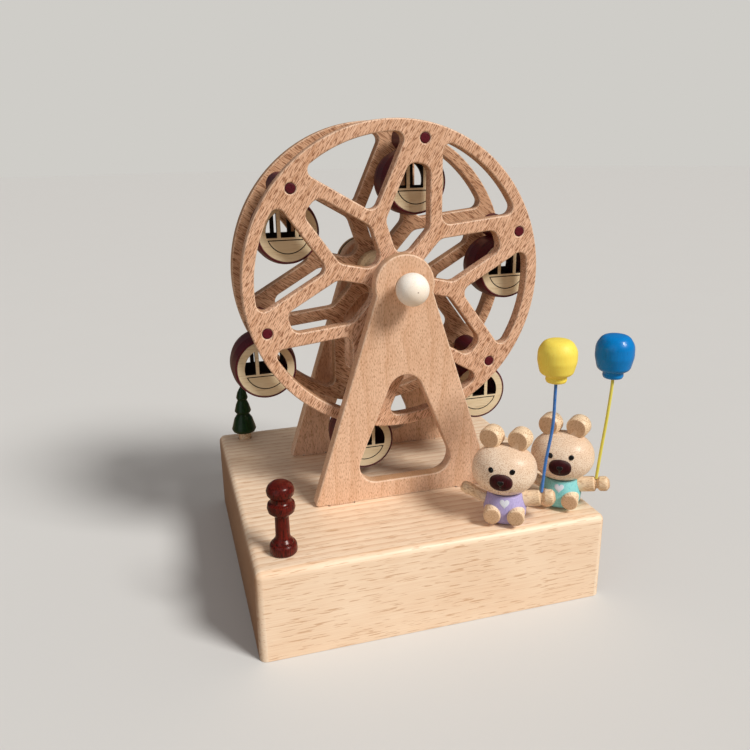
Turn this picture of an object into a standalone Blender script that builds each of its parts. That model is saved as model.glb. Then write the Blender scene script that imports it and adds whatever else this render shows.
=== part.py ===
"""Wooden ferris wheel music box.

A hollow beech base carries two A-shaped frames. Between them two spoked discs turn on one
axle and carry six hanging cars. A wind-up movement in the base turns the axle with a round
belt behind the rear frame. Two toy bears with balloons, a tree and a post stand on the base.

Units are metres, +Z is up, +X is to the right seen from the front, and +Y points away from
the viewer. The origin is on the ground under the middle of the base.
"""

import math

import bmesh
import bpy
from mathutils import Matrix, Vector

MM = 0.001

# Gaps between pieces, and the overrun of every cutter
SEAT_GAP = 0.3 * MM
RUN_GAP = 0.3 * MM
OVERRUN = 2.0 * MM

# Facets of round pieces
DISC_STEPS = 48
TURNED_STEPS = 18
BEAD_STEPS = 14
PEG_STEPS = 10
TUBE_RESOLUTION = 1
ARC_STEP = math.radians(45)

# Base
BASE_WIDTH = 118.0 * MM
BASE_DEPTH = 114.7 * MM
BASE_HEIGHT = 31.0 * MM
BASE_EDGE = 2.4 * MM
BASE_EDGE_STEPS = 3
BASE_WALL = 12.0 * MM
DECK_THICKNESS = 6.0 * MM
PLATE_THICKNESS = 2.9 * MM
PLATE_RIM = 5.0 * MM

# A-shaped frames
FRAME_THICKNESS = 4.8 * MM
FRAME_FOOT_WIDTH = 66.4 * MM
FRAME_TOP_RADIUS = 10.3 * MM
FRAME_TOP_STEPS = 14
FRAME_TO_DISC = 3.9 * MM
WINDOW_SILL = 6.7 * MM
WINDOW_FOOT_WIDTH = 39.8 * MM
WINDOW_PEAK = 54.9 * MM
WINDOW_TOP_RADIUS = 6.2 * MM
WINDOW_FOOT_RADIUS = 6.3 * MM
TENON_WIDTH = 9.0 * MM
TENON_DEPTH = 4.0 * MM
TENON_INSET = 5.0 * MM

# Wheel
WHEEL_SETBACK = 2.9 * MM
WHEEL_RADIUS = 52.2 * MM
WHEEL_RIM = 4.1 * MM
DISC_THICKNESS = 4.8 * MM
DISC_SPREAD = 23.2 * MM
CAR_COUNT = 6
FIRST_PIN_ANGLE = math.radians(137.9)
PIN_INSET = 5.14 * MM
PIN_SHOULDER = 6.275 * MM
PIN_RADIUS = 1.65 * MM
ARM_WIDTH = 4.4 * MM
SPOKE_WIDTH = 5.5 * MM
RIM_WINDOW_APEX = 24.0 * MM
RIM_WINDOW_APEX_RADIUS = 3.0 * MM
RIM_WINDOW_CORNER_RADIUS = 2.6 * MM
RIM_WINDOW_ARC_STEPS = 5
PIN_WINDOW_INSET = 8.16 * MM
PIN_WINDOW_END_RADIUS = 3.3 * MM
PIN_WINDOW_SIDE_RADIUS = 4.0 * MM
PIN_WINDOW_HUB_RADIUS = 4.0 * MM
AXLE_RADIUS = 3.0 * MM
HUB_DRUM_RADIUS = 7.0 * MM
HUB_DRUM_WAIST = 5.6 * MM
BALL_RADIUS = 5.4 * MM
BALL_STANDOFF = 7.0 * MM

# Cars
CAR_DROP = 14.4 * MM
CAR_DECK_GAP = 2.74 * MM
CAR_HALF_WIDTH = 7.9 * MM
CAR_RADIUS = 11.3 * MM
CAR_SHOULDER = 3.0 * MM
CAR_END_RADIUS = 10.5 * MM
CAR_BORE_RADIUS = 8.2 * MM
SLEEVE_RADIUS = 4.4 * MM
SLEEVE_HALF_WIDTH = 6.6 * MM
PANEL_RADIUS = 9.6 * MM
PANEL_THICKNESS = 1.5 * MM
PANEL_BORDER = 2.3 * MM
PANEL_SILL_DROP = 1.7 * MM
PANEL_POST_OFFSET = 3.0 * MM
PANEL_POST_WIDTH = 1.3 * MM
PANEL_ARC_STEPS = 3

# Belt drive
PULLEY_WIDTH = 4.4 * MM
PULLEY_CLEARANCE = 0.9 * MM
PULLEY_FLANGE = 1.2 * MM
AXLE_GROOVE_RADIUS = 8.0 * MM
DRIVE_GROOVE_RADIUS = 3.6 * MM
BELT_RADIUS = 0.8 * MM
BELT_ARC_STEPS = 9
SLOT_HALF_LENGTH = 7.6 * MM
SLOT_HALF_WIDTH = 2.4 * MM

# Movement
BEDPLATE_LIFT = 8.5 * MM
BEDPLATE_THICKNESS = 1.6 * MM
BEDPLATE_LEFT = 33.0 * MM
BEDPLATE_RIGHT = 24.0 * MM
BEDPLATE_FRONT = 15.0 * MM
BEDPLATE_BACK = 23.0 * MM
BEDPLATE_POST_RADIUS = 2.2 * MM
BEDPLATE_POST_INSET = 3.5 * MM
CYLINDER_LIFT = 8.6 * MM
CYLINDER_CENTRE = 3.0 * MM
CYLINDER_LENGTH = 22.0 * MM
CYLINDER_RADIUS = 5.5 * MM
CYLINDER_END_PLAY = 0.4 * MM
CYLINDER_PIN_HEIGHT = 0.5 * MM
CYLINDER_PIN_WIDTH = 0.6 * MM
TUNE_STEP = 7
SHAFT_RADIUS = 1.2 * MM
BEARING_THICKNESS = 1.6 * MM
BEARING_WIDTH = 9.0 * MM
BEARING_HEAD = 3.4 * MM
COMB_TEETH = 18
COMB_TOOTH_SHARE = 0.62
COMB_THICKNESS = 0.8 * MM
COMB_TOOTH_LENGTH = 9.6 * MM
COMB_ROOT = 4.4 * MM
COMB_TIP_GAP = 0.4 * MM
BARREL_OFFSET = 19.5 * MM
BARREL_CENTRE = 1.0 * MM
BARREL_RADIUS = 10.5 * MM
BARREL_HEIGHT = 10.5 * MM
BARREL_LID_STEP = 1.2 * MM
ARBOR_RADIUS = 1.5 * MM
ARBOR_REACH = 3.0 * MM
KEY_WELL_RADIUS = 13.0 * MM
KEY_WING = 8.5 * MM
KEY_THICKNESS = 2.2 * MM
KEY_HEIGHT = 5.6 * MM
KEY_GROUND_GAP = 1.0 * MM
KEY_HUB_RADIUS = 2.8 * MM
GOVERNOR_CENTRE = 18.0 * MM
GOVERNOR_RADIUS = 0.7 * MM
GOVERNOR_WORM_RADIUS = 1.5 * MM
GOVERNOR_FAN = 4.4 * MM
GOVERNOR_BLADE = 0.7 * MM
BRACKET_THICKNESS = 1.2 * MM
BRACKET_DEPTH = 4.0 * MM
BRACKET_REACH = 6.5 * MM
BRACKET_HEIGHT = 11.0 * MM

# Post at the front left: its place from the base's edges
POST_SIDE_INSET = 10.6 * MM
POST_FRONT_INSET = 10.4 * MM
SPIGOT_RADIUS = 1.6 * MM
SPIGOT_DEPTH = 4.0 * MM
POST_HEIGHT = 25.5 * MM
POST_RADIUS = 4.35 * MM
POST_PROFILE_SHARES = (
    (0.00, 0.82), (0.06, 1.00), (0.13, 0.95), (0.18, 0.60), (0.30, 0.48), (0.48, 0.48), (0.50, 0.76),
    (0.57, 1.00), (0.65, 0.92), (0.70, 0.70), (0.74, 0.70), (0.78, 0.92), (0.84, 1.00), (0.92, 0.84),
    (0.97, 0.50), (1.00, 0.00),
)

# Tree at the back left
TREE_SIDE_INSET = 10.4 * MM
TREE_BACK_INSET = 7.4 * MM
TREE_TRUNK_RADIUS = 2.6 * MM
TREE_TRUNK_HEIGHT = 3.0 * MM
TREE_SOCKET_DEPTH = 3.0 * MM
TREE_HEIGHT = 20.6 * MM
TREE_RADIUS = 5.1 * MM
TREE_PROFILE_SHARES = (
    (0.00, 0.72), (0.03, 0.90), (0.08, 1.00), (0.22, 0.80), (0.40, 0.50), (0.45, 0.64), (0.50, 0.67),
    (0.62, 0.52), (0.70, 0.42), (0.74, 0.48), (0.80, 0.43), (0.92, 0.22), (1.00, 0.00),
)

# Bears: both are made from the same pieces, and stand at the right of the base's front edge
LAVENDER_BEAR_SIDE_INSET = 33.0 * MM
LAVENDER_BEAR_FRONT_INSET = 9.3 * MM
LAVENDER_BEAR_TURN = math.radians(-29)
MINT_BEAR_SIDE_INSET = 10.0 * MM
MINT_BEAR_FRONT_INSET = 13.5 * MM
MINT_BEAR_TURN = math.radians(-35)
BODY_RADIUS = 7.1 * MM
BODY_HEIGHT = 9.6 * MM
BODY_PROFILE_SHARES = (
    (0.00, 0.74), (0.10, 0.90), (0.28, 0.99), (0.45, 1.00), (0.65, 0.96), (0.85, 0.88), (1.00, 0.78),
)
HEAD_HALF_WIDTH = 10.6 * MM
HEAD_HALF_DEPTH = 9.0 * MM
HEAD_HALF_HEIGHT = 8.4 * MM
HEAD_SEAT_SHARE = -0.86
HEAD_RINGS = 7
EAR_SPREAD = 4.9 * MM
EAR_LIFT = 10.5 * MM
EAR_TURN = math.radians(-14)
EAR_RADIUS = 3.5 * MM
EAR_FACE_RADIUS = 2.9 * MM
EAR_ROUNDING = 1.0 * MM
EAR_THICKNESS = 5.2 * MM
MUZZLE_HALF_WIDTH = 3.8 * MM
MUZZLE_HALF_HEIGHT = 2.65 * MM
MUZZLE_DEPTH = 1.3 * MM
MUZZLE_DROP = 0.9 * MM
RIGHT_ARM_RADIUS = 1.65 * MM
RIGHT_ARM_LIFT = 7.0 * MM
RIGHT_ARM_REACH = 15.0 * MM
RIGHT_ARM_TILT = math.radians(26)
LEFT_ARM_RADIUS = 2.6 * MM
LEFT_ARM_LIFT = 6.6 * MM
LEFT_ARM_REACH = 11.8 * MM
LEFT_ARM_TILT = math.radians(9)
LEFT_ARM_GROOVE = 0.5 * MM
LEFT_ARM_GROOVE_RADIUS = 1.6 * MM
HAND_LENGTH = 4.0 * MM
LEG_RADIUS = 2.8 * MM
LEG_REACH = 8.4 * MM
LEG_SPREAD = 3.8 * MM
LEG_LIFT = 4.1 * MM

# Balloons on stiff wires
BALLOON_RADIUS = 6.45 * MM
BALLOON_NECK_RADIUS = 3.35 * MM
BALLOON_NECK_HEIGHT = 1.9 * MM
BALLOON_SOCKET = 2.6 * MM
BALLOON_PROFILE_SHARES = (
    (0.00, 0.52), (0.06, 0.68), (0.20, 0.90), (0.38, 1.00), (0.60, 1.00), (0.80, 0.87), (0.93, 0.62),
    (0.985, 0.32), (1.00, 0.00),
)
BALLOON_HEIGHT = 12.6 * MM
WIRE_RADIUS = 0.5 * MM
WIRE_POINTS = 12
YELLOW_NECK_HEIGHT = 48.0 * MM
YELLOW_NECK_SHIFT = (2.9 * MM, 0.2 * MM)
YELLOW_WIRE_SWAY = 0.75 * MM
BLUE_NECK_HEIGHT = 45.7 * MM
BLUE_NECK_SHIFT = (3.6 * MM, 0.2 * MM)
BLUE_WIRE_SWAY = 0.15 * MM

# Places worked out from the sizes
DECK_Z = BASE_HEIGHT
PIN_CIRCLE = WHEEL_RADIUS - PIN_INSET
PIN_WINDOW_REACH = PIN_CIRCLE - PIN_WINDOW_INSET
PIN_PAST_APEX = PIN_CIRCLE * math.cos(math.pi / CAR_COUNT) - RIM_WINDOW_APEX
PIN_ABOVE_APEX = PIN_CIRCLE * math.sin(math.pi / CAR_COUNT)
PIN_FROM_APEX = math.hypot(PIN_PAST_APEX, PIN_ABOVE_APEX)
RIM_WINDOW_SPLAY = math.atan2(PIN_ABOVE_APEX, PIN_PAST_APEX) - math.asin(PIN_SHOULDER / PIN_FROM_APEX)
AXLE_HEIGHT = PIN_CIRCLE + CAR_DROP + CAR_RADIUS + CAR_DECK_GAP
POST_X = POST_SIDE_INSET - BASE_WIDTH / 2
POST_Y = POST_FRONT_INSET - BASE_DEPTH / 2
TREE_X = TREE_SIDE_INSET - BASE_WIDTH / 2
TREE_Y = BASE_DEPTH / 2 - TREE_BACK_INSET
LAVENDER_BEAR_X = BASE_WIDTH / 2 - LAVENDER_BEAR_SIDE_INSET
LAVENDER_BEAR_Y = LAVENDER_BEAR_FRONT_INSET - BASE_DEPTH / 2
MINT_BEAR_X = BASE_WIDTH / 2 - MINT_BEAR_SIDE_INSET
MINT_BEAR_Y = MINT_BEAR_FRONT_INSET - BASE_DEPTH / 2
CEILING_Z = DECK_Z - DECK_THICKNESS
PLATE_TOP_Z = PLATE_THICKNESS
LEDGE_Z = PLATE_TOP_Z + SEAT_GAP
AXLE_Z = DECK_Z + AXLE_HEIGHT
FRONT_DISC_Y = -DISC_SPREAD / 2 - DISC_THICKNESS
REAR_DISC_Y = DISC_SPREAD / 2
FRONT_FRAME_Y = FRONT_DISC_Y - FRAME_TO_DISC - FRAME_THICKNESS
REAR_FRAME_Y = -FRONT_FRAME_Y - FRAME_THICKNESS
BELT_Y = REAR_FRAME_Y + FRAME_THICKNESS + PULLEY_CLEARANCE + PULLEY_WIDTH / 2
BEDPLATE_Z = BEDPLATE_LIFT
BEDPLATE_TOP_Z = BEDPLATE_Z + BEDPLATE_THICKNESS
CYLINDER_Z = BEDPLATE_TOP_Z + CYLINDER_LIFT
HEAD_Z = BODY_HEIGHT + SEAT_GAP * 2 - HEAD_HALF_HEIGHT * HEAD_SEAT_SHARE
BEECH = ((0.62, 0.40, 0.24), 0.55, 0.0)
PALE_BEECH = ((0.74, 0.53, 0.33), 0.55, 0.0)
MAPLE = ((0.78, 0.68, 0.52), 0.5, 0.0)
PLYWOOD = ((0.74, 0.62, 0.43), 0.6, 0.0)
MAROON = ((0.08, 0.015, 0.022), 0.35, 0.0)
OXBLOOD = ((0.12, 0.012, 0.010), 0.2, 0.0)
PINE_GREEN = ((0.006, 0.022, 0.009), 0.2, 0.0)
LAVENDER = ((0.40, 0.28, 0.58), 0.45, 0.0)
MINT = ((0.16, 0.54, 0.43), 0.45, 0.0)
YELLOW = ((0.91, 0.65, 0.03), 0.35, 0.0)
BLUE = ((0.0, 0.20, 0.58), 0.25, 0.0)
WIRE_BLUE = ((0.02, 0.19, 0.65), 0.4, 0.0)
WIRE_YELLOW = ((0.83, 0.76, 0.10), 0.4, 0.0)
STEEL = ((0.55, 0.55, 0.56), 0.3, 1.0)
BRASS = ((0.72, 0.53, 0.24), 0.28, 1.0)
RUBBER = ((0.03, 0.03, 0.03), 0.7, 0.0)


def clear_scene():
    """Empties the file, so that the script can run again in the same window."""
    for old in list(bpy.data.objects):
        bpy.data.objects.remove(old)


def finish_material(name, finish):
    """Makes a Principled material from a colour, a roughness and a metallic value."""
    colour, roughness, metallic = finish
    material = bpy.data.materials.new(name)
    material.use_nodes = True
    shader = material.node_tree.nodes["Principled BSDF"]
    shader.inputs["Base Color"].default_value = (*colour, 1.0)
    shader.inputs["Roughness"].default_value = roughness
    shader.inputs["Metallic"].default_value = metallic
    material.diffuse_color = (*colour, 1.0)
    return material


def empty(name, place, parent=None, turn=0.0):
    """Makes the empty that a group of pieces hangs on."""
    holder = bpy.data.objects.new(name, None)
    bpy.context.collection.objects.link(holder)
    holder.location = place
    holder.rotation_euler = (0.0, 0.0, turn)
    holder.parent = parent
    return holder


def link(name, data, finish, place=(0.0, 0.0, 0.0), parent=None):
    """Links a mesh or a curve as one named piece with its own material."""
    piece = bpy.data.objects.new(name, data)
    bpy.context.collection.objects.link(piece)
    piece.location = place
    piece.parent = parent
    piece.data.materials.clear()
    piece.data.materials.append(finish_material(name, finish))
    return piece


def to_mesh(bm, name):
    """Closes a bmesh into a mesh with outward faces, smooth where it is round."""
    bmesh.ops.remove_doubles(bm, verts=bm.verts[:], dist=SEAT_GAP / 100)
    bmesh.ops.recalc_face_normals(bm, faces=bm.faces[:])
    mesh = bpy.data.meshes.new(name)
    bm.to_mesh(mesh)
    bm.free()
    mesh.shade_smooth()
    mesh.set_sharp_from_angle(angle=math.radians(35))
    return mesh


def combine(name, body, tool, operation):
    """Returns body joined with, or cut by, tool. Both are meshes in one frame."""
    first = bpy.data.objects.new(name, body)
    second = bpy.data.objects.new(name + "_tool", tool)
    for item in (first, second):
        bpy.context.collection.objects.link(item)
    second.hide_render = True
    second.display_type = "WIRE"
    modifier = first.modifiers.new(operation.title(), "BOOLEAN")
    modifier.operation = operation
    modifier.solver = "EXACT"
    modifier.object = second
    bpy.context.view_layer.update()
    graph = bpy.context.evaluated_depsgraph_get()
    result = bpy.data.meshes.new_from_object(first.evaluated_get(graph), depsgraph=graph)
    bpy.data.objects.remove(first)
    bpy.data.objects.remove(second)
    return result


def moved(mesh, matrix):
    """Returns a copy of a mesh moved by a matrix."""
    copy = mesh.copy()
    copy.transform(matrix)
    return copy


def block(low, high):
    """A box between two corners."""
    bm = bmesh.new()
    bmesh.ops.create_cube(bm, size=1.0)
    low = Vector(low)
    high = Vector(high)
    matrix = Matrix.Translation((low + high) / 2) @ Matrix.Diagonal((*(high - low), 1.0))
    bmesh.ops.transform(bm, verts=bm.verts[:], matrix=matrix)
    return to_mesh(bm, "block")


def turned(profile, steps=TURNED_STEPS, axis="Z", closed=False):
    """A turned solid from (height, radius) points along an axis.

    A closed profile goes round a ring. An open one starts and ends on the axis.
    """
    bm = bmesh.new()
    verts = [bm.verts.new((radius, 0.0, height)) for height, radius in profile]
    pairs = list(zip(verts, verts[1:]))
    if closed:
        pairs.append((verts[-1], verts[0]))
    edges = [bm.edges.new(pair) for pair in pairs]
    bmesh.ops.spin(
        bm, geom=verts + edges, cent=(0, 0, 0), axis=(0, 0, 1), angle=math.tau, steps=steps, use_merge=True
    )
    if axis == "Y":
        bmesh.ops.transform(bm, verts=bm.verts[:], matrix=Matrix.Rotation(-math.pi / 2, 4, "X"))
    if axis == "X":
        bmesh.ops.transform(bm, verts=bm.verts[:], matrix=Matrix.Rotation(math.pi / 2, 4, "Y"))
    return to_mesh(bm, "turned")


def rod(radius, low, high, steps=PEG_STEPS, axis="Z"):
    """A plain round rod between two heights along an axis."""
    return turned(((low, 0.0), (low, radius), (high, radius), (high, 0.0)), steps, axis)


def scaled_profile(shares, height, radius):
    """Turns shares of a height and a radius into an open profile in real sizes."""
    points = [(high * height, wide * radius) for high, wide in shares]
    if points[0][1] > 0.0:
        points.insert(0, (points[0][0], 0.0))
    if points[-1][1] > 0.0:
        points.append((points[-1][0], 0.0))
    return points


def circle(radius, steps, centre=(0.0, 0.0)):
    """Points round a circle."""
    angles = [math.tau * step / steps for step in range(steps)]
    return [(centre[0] + radius * math.cos(a), centre[1] + radius * math.sin(a)) for a in angles]


def arc(centre, radius, start, end, steps):
    """Points along an arc from one angle to another, both ends included."""
    angles = [start + (end - start) * step / steps for step in range(steps + 1)]
    return [(centre[0] + radius * math.cos(a), centre[1] + radius * math.sin(a)) for a in angles]


def rounded(corners):
    """An outline whose corners, given as (x, y, radius), are rounded by arcs."""
    outline = []
    count = len(corners)
    for index, (x, y, radius) in enumerate(corners):
        here = Vector((x, y))
        if radius == 0.0:
            outline.append((x, y))
            continue
        back = (Vector(corners[index - 1][:2]) - here).normalized()
        ahead = (Vector(corners[(index + 1) % count][:2]) - here).normalized()
        half = back.angle(ahead) / 2
        centre = here + (back + ahead).normalized() * (radius / math.sin(half))
        first = here + back * (radius / math.tan(half)) - centre
        turn = math.pi - 2 * half
        if back.x * ahead.y - back.y * ahead.x > 0.0:
            turn = -turn
        start = math.atan2(first.y, first.x)
        steps = max(2, round(abs(turn) / ARC_STEP))
        outline += arc(centre, radius, start, start + turn, steps)
    return outline


def rotated(outline, angle):
    """An outline turned about the origin."""
    cosine = math.cos(angle)
    sine = math.sin(angle)
    return [(x * cosine - y * sine, x * sine + y * cosine) for x, y in outline]


def meet(first, first_angle, second, second_angle):
    """Where two lines cross, each given by a point and an angle."""
    ahead = Vector((math.cos(first_angle), math.sin(first_angle)))
    across = Vector((math.cos(second_angle), math.sin(second_angle)))
    offset = Vector(second) - Vector(first)
    share = (offset.x * across.y - offset.y * across.x) / (ahead.x * across.y - ahead.y * across.x)
    return Vector(first) + ahead * share


def plate(outer, holes, low, high, axis="Y"):
    """A flat plate with holes: outlines in XZ swept along Y, or in XY swept along Z."""
    bm = bmesh.new()
    edges = []
    for outline in (outer, *holes):
        if axis == "Y":
            verts = [bm.verts.new((x, low, y)) for x, y in outline]
        else:
            verts = [bm.verts.new((x, y, low)) for x, y in outline]
        edges += [bm.edges.new((verts[index - 1], verts[index])) for index in range(len(verts))]
    bmesh.ops.triangle_fill(bm, use_beauty=True, use_dissolve=False, edges=edges)
    swept = bmesh.ops.extrude_face_region(bm, geom=bm.faces[:])
    sweep = (0.0, high - low, 0.0) if axis == "Y" else (0.0, 0.0, high - low)
    lifted = [item for item in swept["geom"] if isinstance(item, bmesh.types.BMVert)]
    bmesh.ops.translate(bm, verts=lifted, vec=sweep)
    return to_mesh(bm, "plate")


def smooth_route(points, count):
    """Reads a smooth curve through the points at even steps."""
    ends = [points[0] * 2 - points[1], *points, points[-1] * 2 - points[-2]]
    spans = len(points) - 1
    route = []
    for step in range(count):
        place = spans * step / (count - 1)
        span = min(int(place), spans - 1)
        t = place - span
        a, b, c, d = ends[span : span + 4]
        bend = a * 2 - b * 5 + c * 4 - d
        twist = b * 3 - a - c * 3 + d
        route.append((b * 2 + (c - a) * t + bend * t**2 + twist * t**3) / 2)
    return route


def wire(name, route, radius, closed=False):
    """A round wire or belt along a route."""
    curve = bpy.data.curves.new(name, "CURVE")
    curve.dimensions = "3D"
    curve.bevel_depth = radius
    curve.bevel_resolution = TUBE_RESOLUTION
    curve.use_fill_caps = not closed
    spline = curve.splines.new("POLY")
    spline.points.add(len(route) - 1)
    for point, place in zip(spline.points, route):
        point.co = (*place, 1.0)
    spline.use_cyclic_u = closed
    return curve


def tenon_places():
    """The left edge of each tenon under a frame."""
    right = FRAME_FOOT_WIDTH / 2 - TENON_INSET
    return (-right, right - TENON_WIDTH)


def key_place(height):
    """A point on the winding key's axis."""
    return Vector((-BARREL_OFFSET, BARREL_CENTRE, height))


def base_block():
    """The hollow base with its rounded edges, cavity, plate rebate, belt slot and sockets."""
    half_width = BASE_WIDTH / 2
    half_depth = BASE_DEPTH / 2
    bm = bmesh.new()
    bm.from_mesh(block((-half_width, -half_depth, 0.0), (half_width, half_depth, DECK_Z)))
    edges = [edge for edge in bm.edges if any(vert.co.z > 0.0 for vert in edge.verts)]
    bmesh.ops.bevel(
        bm, geom=edges, offset=BASE_EDGE, segments=BASE_EDGE_STEPS, profile=0.5, affect="EDGES"
    )
    body = to_mesh(bm, "base_block")
    rebate_x = half_width - PLATE_RIM
    rebate_y = half_depth - PLATE_RIM
    cavity_x = half_width - BASE_WALL
    cavity_y = half_depth - BASE_WALL
    slot_y = WHEEL_SETBACK + BELT_Y
    cuts = [
        block((-rebate_x, -rebate_y, -OVERRUN), (rebate_x, rebate_y, LEDGE_Z)),
        block((-cavity_x, -cavity_y, -OVERRUN * 2), (cavity_x, cavity_y, CEILING_Z)),
        block(
            (-SLOT_HALF_LENGTH, slot_y - SLOT_HALF_WIDTH, CEILING_Z - OVERRUN),
            (SLOT_HALF_LENGTH, slot_y + SLOT_HALF_WIDTH, DECK_Z + OVERRUN),
        ),
    ]
    for y in (FRONT_FRAME_Y, REAR_FRAME_Y):
        front = WHEEL_SETBACK + y
        for left in tenon_places():
            low = (left - SEAT_GAP, front - SEAT_GAP, DECK_Z - TENON_DEPTH - SEAT_GAP)
            high = (left + TENON_WIDTH + SEAT_GAP, front + FRAME_THICKNESS + SEAT_GAP, DECK_Z + OVERRUN)
            cuts.append(block(low, high))
    spigot = rod(SPIGOT_RADIUS + SEAT_GAP, -SPIGOT_DEPTH - SEAT_GAP, OVERRUN)
    for x, y in ((POST_X, POST_Y), (LAVENDER_BEAR_X, LAVENDER_BEAR_Y), (MINT_BEAR_X, MINT_BEAR_Y)):
        cuts.append(moved(spigot, Matrix.Translation((x, y, DECK_Z))))
    trunk = rod(TREE_TRUNK_RADIUS + SEAT_GAP, -SPIGOT_DEPTH - SEAT_GAP, OVERRUN)
    cuts.append(moved(trunk, Matrix.Translation((TREE_X, TREE_Y, DECK_Z))))
    for cut in cuts:
        body = combine("base_block", body, cut, "DIFFERENCE")
    link("base_block", body, PALE_BEECH)


def base_underside():
    """The bottom plate in its rebate, with the well that the winding key sits in."""
    half_width = BASE_WIDTH / 2 - PLATE_RIM - SEAT_GAP
    half_depth = BASE_DEPTH / 2 - PLATE_RIM - SEAT_GAP
    well = circle(KEY_WELL_RADIUS, TURNED_STEPS, (-BARREL_OFFSET, BARREL_CENTRE))
    corners = (
        (-half_width, -half_depth), (half_width, -half_depth),
        (half_width, half_depth), (-half_width, half_depth),
    )
    link("bottom_plate", plate(corners, (well,), 0.0, PLATE_TOP_Z, "Z"), PALE_BEECH)


def frame_outline():
    """The A-shaped outline: straight sides into a round top about the axle, and two tenons below."""
    half = FRAME_FOOT_WIDTH / 2
    reach = math.hypot(half, AXLE_HEIGHT)
    lean = math.atan2(AXLE_HEIGHT, half) + math.asin(FRAME_TOP_RADIUS / reach)
    start = math.pi / 2 - (math.pi - lean)
    top = arc((0.0, AXLE_HEIGHT), FRAME_TOP_RADIUS, start, math.pi - start, FRAME_TOP_STEPS)
    feet = []
    for left in tenon_places():
        right = left + TENON_WIDTH
        feet += [(left, SEAT_GAP), (left, -TENON_DEPTH), (right, -TENON_DEPTH), (right, SEAT_GAP)]
    return [(half, SEAT_GAP), *top, (-half, SEAT_GAP), *feet]


def a_frames():
    """The front and rear frame with their rounded windows and axle bores."""
    half = WINDOW_FOOT_WIDTH / 2
    window = rounded((
        (-half, WINDOW_SILL, WINDOW_FOOT_RADIUS),
        (half, WINDOW_SILL, WINDOW_FOOT_RADIUS),
        (0.0, WINDOW_PEAK, WINDOW_TOP_RADIUS),
    ))
    bore = circle(AXLE_RADIUS + RUN_GAP, TURNED_STEPS, (0.0, AXLE_HEIGHT))
    for name, y in (("front_a_frame", FRONT_FRAME_Y), ("rear_a_frame", REAR_FRAME_Y)):
        front = WHEEL_SETBACK + y
        frame = plate(frame_outline(), (window, bore), front, front + FRAME_THICKNESS)
        link(name, frame, BEECH, (0.0, 0.0, DECK_Z))


def rim_window():
    """The window between two pins, with its middle on +X: a rounded sector."""
    rim = WHEEL_RADIUS - WHEEL_RIM
    slope = math.tan(RIM_WINDOW_SPLAY)
    a = 1 + slope**2
    b = -2 * slope**2 * RIM_WINDOW_APEX
    c = (slope * RIM_WINDOW_APEX) ** 2 - rim**2
    reach = (-b + math.sqrt(b**2 - 4 * a * c)) / (2 * a)
    corner = math.atan2(slope * (reach - RIM_WINDOW_APEX), reach)
    points = arc((0.0, 0.0), rim, -corner, corner, RIM_WINDOW_ARC_STEPS)
    corners = [(x, y, 0.0) for x, y in points]
    corners[0] = (*points[0], RIM_WINDOW_CORNER_RADIUS)
    corners[-1] = (*points[-1], RIM_WINDOW_CORNER_RADIUS)
    return rounded([(RIM_WINDOW_APEX, 0.0, RIM_WINDOW_APEX_RADIUS), *corners])


def pin_window():
    """The kite-shaped window inside one pin, with the pin on +X."""
    half_step = math.pi / CAR_COUNT
    arm_angle = half_step - RIM_WINDOW_SPLAY
    arm_inset = ARM_WIDTH / math.cos(arm_angle)
    junction = (
        RIM_WINDOW_APEX * math.cos(half_step),
        RIM_WINDOW_APEX * math.sin(half_step) - arm_inset,
    )
    hub = (SPOKE_WIDTH / 2 / math.sin(half_step), 0.0)
    side = meet(hub, half_step, junction, arm_angle)
    end = meet((PIN_WINDOW_REACH, 0.0), math.pi / 2, junction, arm_angle)
    return rounded((
        (*hub, PIN_WINDOW_HUB_RADIUS),
        (side.x, -side.y, PIN_WINDOW_SIDE_RADIUS),
        (end.x, -end.y, PIN_WINDOW_END_RADIUS),
        (end.x, end.y, PIN_WINDOW_END_RADIUS),
        (side.x, side.y, PIN_WINDOW_SIDE_RADIUS),
    ))


def pin_angles():
    """The angle of each pin round the wheel, clockwise from the first."""
    return [FIRST_PIN_ANGLE - math.tau * index / CAR_COUNT for index in range(CAR_COUNT)]


def pin_place(angle):
    """A pin's place in the wheel's own frame."""
    return Vector((PIN_CIRCLE * math.cos(angle), 0.0, PIN_CIRCLE * math.sin(angle)))


def wheel_disc(y):
    """One disc with its windows, pin holes and axle bore."""
    holes = [circle(AXLE_RADIUS + SEAT_GAP, PEG_STEPS)]
    for angle in pin_angles():
        place = pin_place(angle)
        holes.append(circle(PIN_RADIUS + SEAT_GAP, PEG_STEPS, (place.x, place.z)))
        holes.append(rotated(pin_window(), angle))
        holes.append(rotated(rim_window(), angle + math.pi / CAR_COUNT))
    return plate(circle(WHEEL_RADIUS, DISC_STEPS), holes, y, y + DISC_THICKNESS)


def pulley_profile(groove):
    """A grooved pulley about its own middle, as a ring with a bore of its shaft."""
    half = PULLEY_WIDTH / 2
    lip = groove + BELT_RADIUS + PULLEY_FLANGE
    return (
        (-half, lip), (-half + PULLEY_FLANGE / 2, lip), (-BELT_RADIUS / 2, groove),
        (BELT_RADIUS / 2, groove), (half - PULLEY_FLANGE / 2, lip), (half, lip),
    )


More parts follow.
